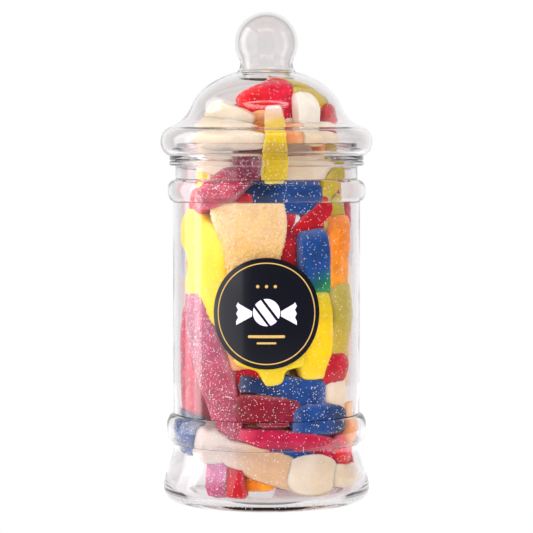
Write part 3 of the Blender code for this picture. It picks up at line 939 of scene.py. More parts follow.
def shown_sweets() -> list[Sweet]:
    """The sweets that press against the front of the glass, from the dome down to the floor.

    Returns:
        The sweets.
    """
    k, f = Kind, Flavour
    return [
        # In the lid's dome.
        Sweet(k.BLOCK, f.HOT_PINK, 7.5, 184.6, 72.0, 28.0, 23.5, 14.0, 8.0),
        Sweet(k.FINGER, f.OLIVE, 66.0, 188.0, 125.0, 32.0, 17.0, 9.0, 1.4),
        Sweet(k.BLOCK, f.MILK, 38.0, 182.6, -1.0, 18.0, 12.0, 9.0, 0.4, 14.0),
        Sweet(k.PEBBLE, f.CHERRY, 72.0, 180.0, 100.0, 17.0, 11.0, 8.0, 0.5),
        Sweet(k.PEBBLE, f.PEARL, -37.0, 180.0, 106.0, 27.0, 12.0, 10.0, 1.6),
        Sweet(k.HORN, f.PEARL, -31.0, 171.8, 99.0, 41.0, 16.0, 9.0, 1.0),
        Sweet(k.PEBBLE, f.PEACH, -9.0, 179.0, 80.0, 12.0, 9.0, 8.0, 8.0),
        Sweet(k.PEBBLE, f.PEACH, 24.0, 171.5, 85.0, 13.0, 9.0, 8.0, 5.0),
        Sweet(k.FINGER, f.ORANGE, -2.0, 172.5, 92.0, 22.0, 10.0, 9.0, 10.0),
        Sweet(k.FINGER, f.PEARL, 47.0, 171.5, 90.0, 22.0, 11.0, 9.0, 2.0),
        # In the neck.
        Sweet(k.STUB, f.CLEAR_TOP, 5.5, 167.2, 0.0, 37.0, 11.3, 9.0, 0.1, 10.0),
        Sweet(k.SPINDLE, f.PLUM, -27.0, 149.8, 61.0, 38.0, 15.0, 10.0, 0.2),
        Sweet(k.SHIELD, f.PEARL, -43.0, 160.0, 90.0, 24.0, 16.0, 8.0, 1.5, 3.0),
        Sweet(k.FINGER, f.PEARL, 34.0, 156.5, 90.0, 30.0, 12.0, 9.0, 3.0),
        Sweet(k.SPINDLE, f.OLIVE, 57.0, 151.5, 38.0, 21.0, 11.0, 9.0, 1.0),
        # In the upper half of the body.
        Sweet(k.PEBBLE, f.HOT_PINK, -56.0, 140.5, 12.0, 14.0, 12.0, 10.0, 1.0),
        Sweet(k.FINGER, f.CHERRY, -24.0, 141.3, 80.0, 19.0, 9.0, 9.0, 3.5),
        Sweet(k.HORN, f.NAVY, 14.0, 143.6, -87.0, 41.0, 15.0, 10.0, 6.0),
        Sweet(k.FINGER, f.CHERRY, 41.0, 135.2, 46.0, 38.0, 12.5, 9.0, 4.0),
        Sweet(k.PEBBLE, f.MILK, 20.0, 131.0, 0.0, 12.0, 8.0, 8.0, 5.0),
        Sweet(k.SHIELD, f.SHELL, -14.0, 123.0, 0.0, 38.0, 35.0, 9.0, 0.2),
        Sweet(k.SNAKE, f.LEMON, -48.0, 111.5, -23.0, 60.0, 27.0, 11.0, 0.6),
        Sweet(k.SNAKE, f.OLIVE, 60.0, 132.0, 20.0, 28.0, 15.0, 10.0, 3.0),
        Sweet(k.FINGER, f.ORANGE, 58.0, 115.0, 183.0, 41.0, 17.0, 12.0, 0.2),
        Sweet(k.FINGER, f.RIVER, 34.5, 113.5, -7.0, 31.0, 17.0, 10.0, 0.2),
        Sweet(k.BOTTLE, f.CHERRY, 15.0, 121.0, 2.0, 32.0, 13.0, 9.0, 4.0),
        # Round the label.
        Sweet(k.SNAKE, f.OLIVE, 62.0, 82.0, 3.0, 46.0, 19.0, 11.0, 0.6),
        Sweet(k.FINGER, f.GOLDEN, 35.5, 80.5, 1.0, 42.0, 16.5, 10.0, 0.2),
        Sweet(k.FLASK, f.LEMON, 6.0, 81.2, 180.0, 50.0, 32.0, 11.0, 0.2),
        Sweet(k.HORN, f.LILAC, -40.5, 67.0, 163.0, 81.0, 20.0, 12.0, 0.2),
        Sweet(k.FINGER, f.ROSE, -70.0, 65.0, -4.0, 56.0, 18.0, 12.0, 0.6),
        Sweet(k.FINGER, f.PEACH, -18.0, 81.5, -6.0, 34.0, 20.0, 9.0, 3.0),
        Sweet(k.PEBBLE, f.CHERRY, 55.0, 64.0, 0.0, 17.0, 19.0, 12.0, 0.3),
        Sweet(k.FINGER, f.CHERRY, -18.0, 56.5, -4.0, 32.0, 17.0, 10.0, 5.0),
        # Below the label.
        Sweet(k.BOTTLE, f.NAVY, 12.5, 55.6, -82.0, 39.0, 16.0, 11.0, 1.4),
        Sweet(k.PEBBLE, f.WINE, 0.5, 45.6, 94.0, 30.0, 16.0, 12.0, 0.2),
        Sweet(k.BLOCK, f.NAVY, 40.0, 40.6, 93.0, 30.0, 15.5, 12.0, 0.2),
        Sweet(k.FINGER, f.CREAM, 57.0, 48.5, -8.0, 27.0, 17.0, 11.0, 1.5),
        Sweet(k.FINGER, f.PEACH, 73.0, 38.0, 0.0, 19.0, 13.0, 12.0, 0.5),
        Sweet(k.HORN, f.ROSE, 23.0, 30.0, -78.0, 56.0, 12.0, 10.0, 1.5),
        Sweet(k.FINGER, f.NAVY, 22.0, 25.2, 107.0, 34.0, 8.0, 11.0, 0.3),
        Sweet(k.FINGER, f.NAVY, -68.0, 34.0, 8.0, 20.0, 22.0, 11.0, 0.5),
        Sweet(k.PEBBLE, f.HOT_PINK, 63.0, 24.8, 20.0, 17.0, 17.0, 12.0, 0.5),
        # On the jar's floor.
        Sweet(k.FLAGON, f.TEA, -2.0, 21.2, -74.0, 69.0, 19.5, 12.0, 0.2),
        Sweet(k.PEBBLE, f.PEARL, 31.0, 16.6, -78.0, 24.0, 20.0, 12.5, 0.0),
        Sweet(k.BLOCK, f.PINK, -33.0, 13.6, -5.0, 18.5, 11.0, 12.0, 0.5),
        Sweet(k.BLOCK, f.CHERRY, -20.0, 12.6, -6.0, 16.0, 9.5, 12.0, 1.0),
        Sweet(k.BLOCK, f.ORANGE, -6.0, 13.0, 84.0, 14.0, 11.0, 12.0, 7.0),
        Sweet(k.FINGER, f.PEARL, 66.0, 14.3, 92.0, 27.0, 11.5, 12.0, 0.5),
    ]


@dataclass
class Filling:
    """The rows of sweets round the sides and the back, drawn from one seed. The front's sweets
    need the room of one of them, which is left out, and of two that lie deeper. Degrees and
    millimetres."""

    room: Room
    seed: int = 12
    rows: int = 6
    first: float = 20.0
    step: float = 25.5
    per_row: int = 5
    start: float = 101.0
    end: float = 262.0
    left_out: tuple[int, int] = (0, 4)
    deep: tuple[tuple[int, int], ...] = ((5, 0), (5, 4))
    deeper: float = 6.0
    sway: float = 3.0
    lean: float = 48.0
    lengths: tuple[float, float] = (32.0, 42.0)
    widths: tuple[float, float] = (17.0, 22.0)
    thickness: float = 11.0
    insets: tuple[float, float] = (0.2, 2.5)
    flavour_step: int = 5
    dome_places: int = 5
    dome_inset: float = 26.0
    dome_height: float = 179.0

    def sweets(self) -> list[Sweet]:
        """Draw the sweets, row by row from the floor and then in the dome.

        Returns:
            The sweets.
        """
        draw = random.Random(self.seed)
        kinds = (Kind.BOTTLE, Kind.FINGER, Kind.SPINDLE, Kind.SHIELD, Kind.FINGER, Kind.BOTTLE)
        front_only = (Flavour.CLEAR_TOP, Flavour.MILK, Flavour.TEA)
        bag = [flavour for flavour in Flavour if flavour not in front_only]
        random.Random(self.seed + 1).shuffle(bag)
        turn = (self.end - self.start) / self.per_row
        sweets: list[Sweet] = []
        for row in range(self.rows):
            height = self.first + row * self.step
            for place in range(self.per_row):
                azimuth = self.start + turn * (place + 0.5 * (row % 2)) + draw.uniform(-self.sway, self.sway)
                lean = draw.uniform(-self.lean, self.lean) + 180.0 * draw.randrange(2)
                length, width = draw.uniform(*self.lengths), draw.uniform(*self.widths)
                rise = height + draw.uniform(-self.sway, self.sway)
                inset = draw.uniform(*self.insets) + (self.deeper if (row, place) in self.deep else 0.0)
                kind = draw.choice(kinds)
                flavour = bag[len(sweets) * self.flavour_step % len(bag)]
                if (row, place) != self.left_out:
                    size = (length, width, self.thickness)
                    sweets.append(Sweet(kind, flavour, azimuth, rise, lean, *size, inset))
        for place in range(self.dome_places):
            azimuth = self.start + (self.end - self.start) * place / (self.dome_places - 1)
            rise = self.dome_height + draw.uniform(-2.0, 2.0)
            lean = draw.uniform(60.0, 120.0)
            inset = float(self.room.radius(self.dome_height * MM)) / MM - self.dome_inset
            kind = draw.choice(kinds)
            flavour = bag[len(sweets) * self.flavour_step % len(bag)]
            sweets.append(Sweet(kind, flavour, azimuth, rise, lean, 26.0, 16.0, 12.0, inset))
        return sweets


@dataclass
class InnerLayer:
    """The sweets behind the outer ones, which close the gaps between them. Degrees and
    millimetres."""

    seed: int = 5
    rows: int = 8
    first: float = 16.0
    step: float = 20.5
    per_row: int = 6
    size: tuple[float, float, float] = (34.0, 19.0, 12.0)
    inset: float = 12.0
    foot_rows: int = 2
    foot_inset: float = 20.0

    def sweets(self) -> list[Sweet]:
        """Draw the sweets row by row, all round the jar.

        Returns:
            The sweets.
        """
        draw = random.Random(self.seed)
        kinds = (Kind.FINGER, Kind.BLOCK, Kind.BOTTLE)
        bag = [Flavour.CREAM, Flavour.CHERRY, Flavour.LEMON, Flavour.PEACH, Flavour.ORANGE, Flavour.CREAM]
        sweets = []
        for row in range(self.rows):
            inset = self.inset if row >= self.foot_rows else self.foot_inset
            for place in range(self.per_row):
                azimuth = 360.0 * (place + 0.5 * (row % 2)) / self.per_row + draw.uniform(-6.0, 6.0)
                height = self.first + row * self.step + draw.uniform(-3.0, 3.0)
                lean = draw.uniform(-70.0, 70.0)
                kind, flavour = draw.choice(kinds), draw.choice(bag)
                sweets.append(Sweet(kind, flavour, azimuth, height, lean, *self.size, inset))
        return sweets


# ---------------------------------------------------------------- the heap


@dataclass
class Heap:
    """The sweets, one piece for each flavour, with the sugar that lies on them."""

    room: Room
    smooth_levels: int = 2
    hidden_levels: int = 1
    rough_sugar: float = 0.5
    support: float = 0.62
    tuck: float = 0.87
    crust_grain: float = 1.3 * MM
    crust_depth: float = 0.45 * MM
    shell_depth: float = 1.9 * MM
    lump: float = 9.0 * MM
    lump_depth: float = 1.5 * MM
    uneven_seed: int = 3

    def mould(self, kind: Kind, levels: int) -> bpy.types.Object:
        """Model one kind of sweet in its mould, from -1 to 1 across, out and along.

        Args:
            kind: The kind of sweet.
            levels: How often its cage is subdivided.

        Returns:
            The smooth sweet, not yet in place.
        """
        name = f"mould_{kind.name.lower()}_{levels}"
        piece = add_shape(name, bpy.ops.mesh.primitive_cube_add, size=2.0, location=(0.0, 0.0, 0.0))
        with editing(piece):
            cuts = [((0.0, 0.0, along), (0.0, 0.0, 1.0)) for along, *_ in list(kind.stations)[1:-1]]
            cuts += [((side * self.support, 0.0, 0.0), (1.0, 0.0, 0.0)) for side in (-1.0, 1.0)]
            cuts += [((0.0, side * self.support, 0.0), (0.0, 1.0, 0.0)) for side in (-1.0, 1.0)]
            for place, facing in cuts:
                bpy.ops.mesh.select_all(action="SELECT")
                bpy.ops.mesh.bisect(plane_co=place, plane_no=facing)
            choose(piece, lambda co: abs(co.x) > 0.9 and abs(co.y) > 0.9)
            bpy.ops.transform.resize(value=(self.tuck, self.tuck, 1.0), center_override=(0.0, 0.0, 0.0))
            for along, width, depth in kind.stations:
                choose(piece, lambda co, level=along: abs(co.z - level) < 0.01)
                bpy.ops.transform.resize(value=(width, depth, 1.0), center_override=(0.0, 0.0, along))
                bpy.ops.transform.translate(value=(kind.swing(along), 0.0, 0.0))
        apply_modifier(piece, "SUBSURF", levels=levels, render_levels=levels)
        points = place_of(piece)
        points -= (points.max(axis=0) + points.min(axis=0)) / 2.0 * np.array([0.0, 1.0, 1.0])
        points[:, 1:] /= np.abs(points[:, 1:]).max(axis=0)
        points[:, 0] /= 1.0 - (1.0 - self.tuck) * 0.3
        move_points(piece, points)
        tone = piece.data.attributes.new("tone", "FLOAT", "POINT")
        tone.data.foreach_set("value", ((points[:, 2] + 1.0) / 2.0).astype(np.float32))
        # How near a point lies to the sides and the ends; the jelly material paints its rim light from it.
        edge = piece.data.attributes.new("edge", "FLOAT", "POINT")
        edge.data.foreach_set("value", np.abs(points[:, [0, 2]]).max(axis=1).astype(np.float32))
        return piece

    def cast(self, mould: bpy.types.Object, sweet: Sweet, draw: random.Random) -> bpy.types.Object:
        """Cast one sweet from a mould and lay it in the jar, a little uneven.

        Args:
            mould: The mould of its kind.
            sweet: The sweet.
            draw: The source of its unevenness.

        Returns:
            The sweet as an object of its own.
        """
        piece = mould.copy()
        piece.data = mould.data.copy()
        bpy.context.scene.collection.objects.link(piece)
        points = place_of(piece)
        bow, wave = draw.uniform(-0.12, 0.12), draw.uniform(0.0, FULL_TURN)
        points[:, 0] += bow * (1.0 - points[:, 2] ** 2) + 0.05 * np.sin(3.0 * points[:, 2] + wave)
        points[:, 1] *= 1.0 + 0.10 * np.sin(2.0 * points[:, 2] + wave)
        points[:, 1] = np.clip(points[:, 1], -1.0, 1.0)
        move_points(piece, self.room.lay(points, sweet))
        # Laying a sweet mirrors it, so its faces are turned to point outwards again.
        piece.data.flip_normals()
        return piece

    def crust(self, piece: bpy.types.Object, flavour: Flavour) -> None:
        """Give a piece the lumps of soft jelly and the fine relief of its sugar crust.

        Args:
            piece: The joined sweets of one flavour.
            flavour: Their flavour.
        """
        relief = self.shell_depth if flavour is Flavour.SHELL else self.crust_depth
        for name, size, depth in (
            ("lumps", self.lump, self.lump_depth),
            ("sugar_crust", self.crust_grain, relief),
        ):
            texture = bpy.data.textures.new(name, "CLOUDS")
            texture.noise_scale = size
            apply_modifier(
                piece, "DISPLACE", texture=texture, texture_coords="LOCAL", strength=depth, mid_level=0.62
            )

    def levels(self, sweet: Sweet, hidden: bool) -> int:
        """Choose how finely a sweet is cast: hidden ones coarsely, and the most sugary ones finely.

        Args:
            sweet: The sweet.
            hidden: Whether it lies behind others.

        Returns:
            How often the cage of its mould is subdivided.
        """
        if hidden:
            return self.hidden_levels
        if sweet.kind is Kind.SHIELD and sweet.flavour is Flavour.SHELL:
            return self.smooth_levels + 2
        return self.smooth_levels + (1 if sweet.flavour.sugar >= self.rough_sugar else 0)

    def build(self) -> list[bpy.types.Object]:
        """Cast all the sweets and join them, one piece for each flavour.

        Returns:
            The pieces.
        """
        sweets = [(sweet, False) for sweet in shown_sweets() + Filling(self.room).sweets()]
        sweets += [(sweet, True) for sweet in InnerLayer().sweets()]
        draw = random.Random(self.uneven_seed)
        moulds: dict[tuple[Kind, int], bpy.types.Object] = {}
        cast: dict[Flavour, list[bpy.types.Object]] = {flavour: [] for flavour in Flavour}
        for sweet, hidden in sweets:
            key = (sweet.kind, self.levels(sweet, hidden))
            if key not in moulds:
                moulds[key] = self.mould(*key)
            cast[sweet.flavour].append(self.cast(moulds[key], sweet, draw))
        for mould in moulds.values():
            bpy.data.objects.remove(mould)
        pieces = []
        for flavour, group in cast.items():
            piece = join(flavour.piece, group)
            self.crust(piece, flavour)
            material = SugaredJelly(flavour).material()
            pieces.append(finish_piece(piece, material, "sweets", crease=70.0))
        return pieces


@dataclass
class LooseSugar:
    """Grains of caster sugar: most lie on the sweets, some on the jar's floor."""

    room: Room
    count: int = 15500
    floor_count: int = 700
    size: float = 0.32 * MM
    sizes: tuple[float, float] = (0.55, 1.25)
    outer_depth: float = 14.0 * MM
    upward: float = 0.3
    floor_ring: tuple[float, float] = (0.35, 0.98)
    seed: int = 21

    def spots(self, pieces: Sequence[bpy.types.Object]) -> np.ndarray:
        """Choose where the grains lie: on the outer faces of the sweets, more on the sugary ones.

        Args:
            pieces: The sweets.

        Returns:
            The places of the grains.
        """
        draw = np.random.default_rng(self.seed)
        corners, weights = [], []
        for piece in pieces:
            mesh = piece.data
            mesh.calc_loop_triangles()
            index = np.empty(len(mesh.loop_triangles) * 3, np.int32)
            mesh.loop_triangles.foreach_get("vertices", index)
            faces = place_of(piece)[index.reshape(-1, 3)]
            normal = np.cross(faces[:, 1] - faces[:, 0], faces[:, 2] - faces[:, 0])
            middle = faces.mean(axis=1)
            outwards = middle / np.linalg.norm(middle[:, :2], axis=1, keepdims=True)
            outwards[:, 2] = self.upward
            facing = np.maximum(0.0, (normal * outwards).sum(axis=1))
            near = np.hypot(middle[:, 0], middle[:, 1]) > self.room.radius(middle[:, 2]) - self.outer_depth
            sugar = next(flavour.sugar for flavour in Flavour if flavour.piece == piece.name)
            corners.append(faces)
            weights.append(facing * near * sugar)
        faces, weight = np.concatenate(corners), np.concatenate(weights)
        picked = faces[draw.choice(len(faces), self.count, p=weight / weight.sum())]
        shares = draw.dirichlet((1.0, 1.0, 1.0), self.count)
        on_sweets = (picked * shares[:, :, None]).sum(axis=1)
        reach = float(self.room.radius(self.room.jar.floor + MM))
        radius = reach * np.sqrt(draw.uniform(*self.floor_ring, self.floor_count))
        turn = draw.uniform(0.0, FULL_TURN, self.floor_count)
        level = np.full(self.floor_count, self.room.jar.floor + self.size / 3.0)
        on_floor = np.column_stack([radius * np.cos(turn), radius * np.sin(turn), level])
        return np.concatenate([on_sweets, on_floor])

    def material(self) -> bpy.types.Material:
        """Caster sugar: colourless crystals that read as bright white specks.

        Returns:
            The material.
        """
        material, tree, shader = new_material("caster_sugar")
        place = add_node(tree, "ShaderNodeTexCoord").outputs["Object"]
        facets = add_node(tree, "ShaderNodeTexNoise", {"Vector": place, "Scale": 0.5 / self.size}).outputs[0]
        colour = add_node(
            tree, "ShaderNodeMix", {0: facets, 6: linear("#f3e9ea"), 7: linear("#ffffff")}, data_type="RGBA"
        ).outputs[2]
        tree.links.new(colour, shader.inputs["Base Color"])
        shader.inputs["Roughness"].default_value = 0.22
        shader.inputs["IOR"].default_value = 1.54
        return material

    def build(self, pieces: Sequence[bpy.types.Object]) -> bpy.types.Object:
        """Model one grain and lay copies of it, all joined in one mesh.

        Args:
            pieces: The sweets that carry the grains.

        Returns:
            The grains.
        """
        cube = bpy.ops.mesh.primitive_cube_add
        grain = add_shape("loose_sugar", cube, size=self.size, location=(0.0, 0.0, 0.0))
        with editing(grain):
            choose(grain, lambda co: co.z > 0.0)
            bpy.ops.transform.resize(value=(0.7, 0.8, 1.0), center_override=(0.0, 0.0, 0.0))
        shape = place_of(grain)
        faces = np.array([polygon.vertices[:] for polygon in grain.data.polygons])
        spots = self.spots(pieces)
        draw = np.random.default_rng(self.seed + 1)
        turns = np.linalg.qr(draw.normal(size=(len(spots), 3, 3)))[0]
        turns *= np.sign(np.linalg.det(turns))[:, None, None]
        sizes = draw.uniform(*self.sizes, (len(spots), 1, 1))
        places = np.einsum("nij,kj->nki", turns, shape) * sizes + spots[:, None, :]
        starts = np.arange(len(spots)) * len(shape)
        mesh = bpy.data.meshes.new("loose_sugar")
        mesh.from_pydata(places.reshape(-1, 3), [], (faces[None] + starts[:, None, None]).reshape(-1, 4))
        grain.data = mesh
        return finish_piece(grain, self.material(), "sweets", crease=20.0)


# ---------------------------------------------------------------- the label


@dataclass
class Label:
    """The round sticker: a thin disc wrapped on the body, with a gold ring and a plain figure."""

    jar: Jar
    radius: float = 25.4 * MM
    height: float = 91.0 * MM
    thickness: float = 0.30 * MM
    gap: float = 0.05 * MM
    print_depth: float = 0.05 * MM
    ring_inset: float = 2.1 * MM
    ring_width: float = 0.5 * MM
    strip_width: float = 1.5 * MM
    figure_radius: float = 6.2 * MM
    figure_rise: float = 0.6 * MM
    stripe: tuple[float, float] = (1.7 * MM, 2.9 * MM)
    twist_reach: tuple[float, float] = (6.6 * MM, 14.0 * MM)
    twist_half: float = 5.2 * MM
    twist_throat: float = 0.22
    pleat: float = 0.9 * MM
    dot_radius: float = 0.75 * MM
    dot_step: float = 4.0 * MM
    dot_rise: float = 12.4 * MM
    bars: tuple[tuple[float, float, float], ...] = (
        (-10.4 * MM, 8.5 * MM, 1.3 * MM),
        (-13.4 * MM, 4.5 * MM, 0.9 * MM),
    )

    def wrap(self, piece: bpy.types.Object, inner: float) -> None:
        """Wrap a flat piece, drawn in X and Z with its depth along -Y, round the body.

        Args:
            piece: The flat piece, with its back at Y = 0.
            inner: The radius that its back takes.
        """
        points = place_of(piece)
        radius = inner - points[:, 1]
        turn = points[:, 0] / inner
        wrapped = np.column_stack([radius * np.sin(turn), -radius * np.cos(turn), points[:, 2] + self.height])
        move_points(piece, wrapped)

    def strips(self, piece: bpy.types.Object, reach: float) -> None:
        """Cut a flat piece into upright strips, so that it can be wrapped.

        Args:
            piece: The flat piece.
            reach: How far it reaches to each side.
        """
        with editing(piece):
            for cut in np.arange(-reach + self.strip_width, reach, self.strip_width):
                bpy.ops.mesh.select_all(action="SELECT")
                bpy.ops.mesh.bisect(plane_co=(cut, 0.0, 0.0), plane_no=(1.0, 0.0, 0.0))

    def disc(
        self, name: str, centre: tuple[float, float], radius: float, depth: float, vertices: int = 96
    ) -> bpy.types.Object:
        """Model a flat disc that faces -Y, with its back at Y = 0.

        Args:
            name: Its name.
            centre: Its centre, in X and Z from the middle of the label.
            radius: Its radius.
            depth: Its thickness.
            vertices: The points round it.

        Returns:
            The disc, unwrapped.
        """
        return add_shape(
            name,
            bpy.ops.mesh.primitive_cylinder_add,
            vertices=vertices,
            radius=radius,
            depth=depth,
            location=(centre[0], -depth / 2.0, centre[1]),
            rotation=UPRIGHT,
        )

    def ring(self) -> bpy.types.Object:
        """Model the thin ring inside the label's edge.

        Returns:
            The ring, unwrapped.
        """
        outer = self.radius - self.ring_inset
        circle = bpy.ops.mesh.primitive_circle_add
        piece = add_shape("ring", circle, vertices=160, radius=outer, rotation=UPRIGHT)
        share = (outer - self.ring_width) / outer
        with editing(piece):
            bpy.ops.mesh.extrude_edges_move()
            bpy.ops.transform.resize(value=(share, 1.0, share), center_override=(0.0, 0.0, 0.0))
        self.thicken(piece)
        return piece

    def thicken(self, piece: bpy.types.Object) -> None:
        """Give a flat shape at Y = 0 the depth of print.

        Args:
            piece: The flat shape.
        """
        with editing(piece):
            bpy.ops.mesh.extrude_region_move(TRANSFORM_OT_translate={"value": (0.0, -self.print_depth, 0.0)})
            bpy.ops.mesh.select_all(action="SELECT")
            bpy.ops.mesh.normals_make_consistent(inside=False)

    def bar(self, rise: float, half: float, thick: float) -> bpy.types.Object:
        """Model a short bar with round ends.

        Args:
            rise: How far above the label's middle it is.
            half: Half of its length.
            thick: Its thickness in the label's plane.

        Returns:
            The bar, unwrapped.
        """
        piece = self.disc("bar", (0.0, rise), thick / 2.0, self.print_depth, 24)
        with editing(piece):
            for side in (-1.0, 1.0):
                choose(piece, lambda co, way=side: co.x * way > 1e-6)
                bpy.ops.transform.translate(value=(side * (half - thick / 2.0), 0.0, 0.0))
        self.strips(piece, half)
        return piece

    def twist(self, side: float) -> bpy.types.Object:
        """Model one pleated end of the sweet's wrapper.

        Args:
            side: -1 for the left end and 1 for the right one.

        Returns:
            The twist, unwrapped.
        """
        piece = add_shape("twist", bpy.ops.mesh.primitive_plane_add, size=2.0, rotation=UPRIGHT)
        near, far = self.twist_reach
        with editing(piece):
            bpy.ops.mesh.subdivide(number_cuts=5)
            size = ((far - near) / 2.0, 1.0, self.twist_half)
            bpy.ops.transform.resize(value=size, center_override=(0.0, 0.0, 0.0))
            bpy.ops.transform.translate(value=(side * (near + far) / 2.0, 0.0, 0.0))
        points = place_of(piece)
        out = np.abs(points[:, 0])
        points[:, 2] *= self.twist_throat + (1.0 - self.twist_throat) * (out - near) / (far - near)
        end = np.abs(out - far) < 1e-6
        points[end, 0] -= side * self.pleat * (np.arange(end.sum()) % 2)
        move_points(piece, points)
        self.thicken(piece)
        return piece

    def figure(self) -> list[bpy.types.Object]:
        """Model the plain wrapped sweet: a striped disc between two twists.

        Returns:
            The three shapes, unwrapped.
        """
        body = self.disc("figure", (0.0, self.figure_rise), self.figure_radius, self.print_depth, 64)
        slope = Vector((0.8, 0.0, 0.6))
        near, far = self.stripe
        with editing(body):
            for cut in (-far, -near, near, far):
                bpy.ops.mesh.select_all(action="SELECT")
                bpy.ops.mesh.bisect(plane_co=slope * cut, plane_no=slope)
            shape = bmesh.from_edit_mesh(body.data)
            for face in shape.faces:
                across = abs(face.calc_center_median().dot(slope))
                face.select_set(near < across < far and abs(face.normal.y) > 0.5)
            bmesh.update_edit_mesh(body.data)
            bpy.ops.mesh.delete(type="FACE")
        self.strips(body, self.figure_radius)
        return [body, self.twist(-1.0), self.twist(1.0)]

    def printed(self, name: str, things: Sequence[bpy.types.Object]) -> bpy.types.Object:
        """Join flat shapes into one piece and wrap it on the label's face.

        Args:
            name: The name of the piece.
            things: The flat shapes, with their backs at Y = 0.

        Returns:
            The wrapped piece.
        """
        piece = join(name, things)
        self.wrap(piece, self.jar.body_radius + self.gap + self.thickness)
        return piece

    def paper(self) -> bpy.types.Material:
        """Coated sticker paper, printed navy: satin, with the faint tooth of the print.

        Returns:
            The material.
        """
        material, tree, shader = new_material("satin_navy_sticker")
        place = add_node(tree, "ShaderNodeTexCoord").outputs["Object"]
        tooth = add_node(
            tree, "ShaderNodeTexNoise", {"Vector": place, "Scale": 1.0 / (0.6 * MM), "Detail": 3.0}
        ).outputs[0]
        colour = add_node(
            tree, "ShaderNodeMix", {0: tooth, 6: linear("#06061a"), 7: linear("#0b0b20")}, data_type="RGBA"
        ).outputs[2]
        bump = add_node(
            tree, "ShaderNodeBump", {"Height": tooth, "Strength": 0.3, "Distance": 0.02 * MM}
        ).outputs[0]
        tree.links.new(colour, shader.inputs["Base Color"])
        tree.links.new(bump, shader.inputs["Normal"])
        shader.inputs["Roughness"].default_value = 0.32
        shader.inputs["Specular IOR Level"].default_value = 0.6
        shader.inputs["Coat Weight"].default_value = 0.5
        shader.inputs["Coat Roughness"].default_value = 0.12
        return material

    def ink(self, name: str, hex_colour: str, dark_hex: str, roughness: float) -> bpy.types.Material:
        """Make a printed ink.

        Args:
            name: The ink.
            hex_colour: Its colour.
            dark_hex: Its colour where the print is thin.
            roughness: How matt it is.

        Returns:
            The material.
        """
        material, tree, shader = new_material(name)
        place = add_node(tree, "ShaderNodeTexCoord").outputs["Object"]
        wear = add_node(tree, "ShaderNodeTexNoise", {"Vector": place, "Scale": 1.0 / (1.2 * MM)}).outputs[0]
        colour = add_node(
            tree, "ShaderNodeMix", {0: wear, 6: linear(dark_hex), 7: linear(hex_colour)}, data_type="RGBA"
        ).outputs[2]
        tree.links.new(colour, shader.inputs["Base Color"])
        shader.inputs["Roughness"].default_value = roughness
        return material

    def build(self) -> list[bpy.types.Object]:
        """Model the sticker, the ring and the figure, and dress them.

        Returns:
            The sticker and its two prints.
        """
        sticker = self.disc("label_sticker", (0.0, 0.0), self.radius, self.thickness, 128)
        self.strips(sticker, self.radius)
        self.wrap(sticker, self.jar.body_radius + self.gap)
        apply_modifier(sticker, "BEVEL", width=0.05 * MM, segments=2, angle_limit=math.radians(60.0))
        dots = [
            self.disc("dot", (place * self.dot_step, self.dot_rise), self.dot_radius, self.print_depth, 20)
            for place in (-1, 0, 1)
        ]
        bars = [self.bar(*row) for row in self.bars]
        gold = self.printed("label_gold_print", [self.ring(), *dots, *bars])
        pale = self.printed("label_pale_print", self.figure())
        finishes = (
            (sticker, self.paper()),
            (gold, self.ink("gold_ink", "#d8b264", "#b98f45", 0.35)),
            (pale, self.ink("pale_lilac_ink", "#e9dcf4", "#d9cbe8", 0.45)),
        )
        return [finish_piece(piece, material, "label") for piece, material in finishes]


# ---------------------------------------------------------------- the studio


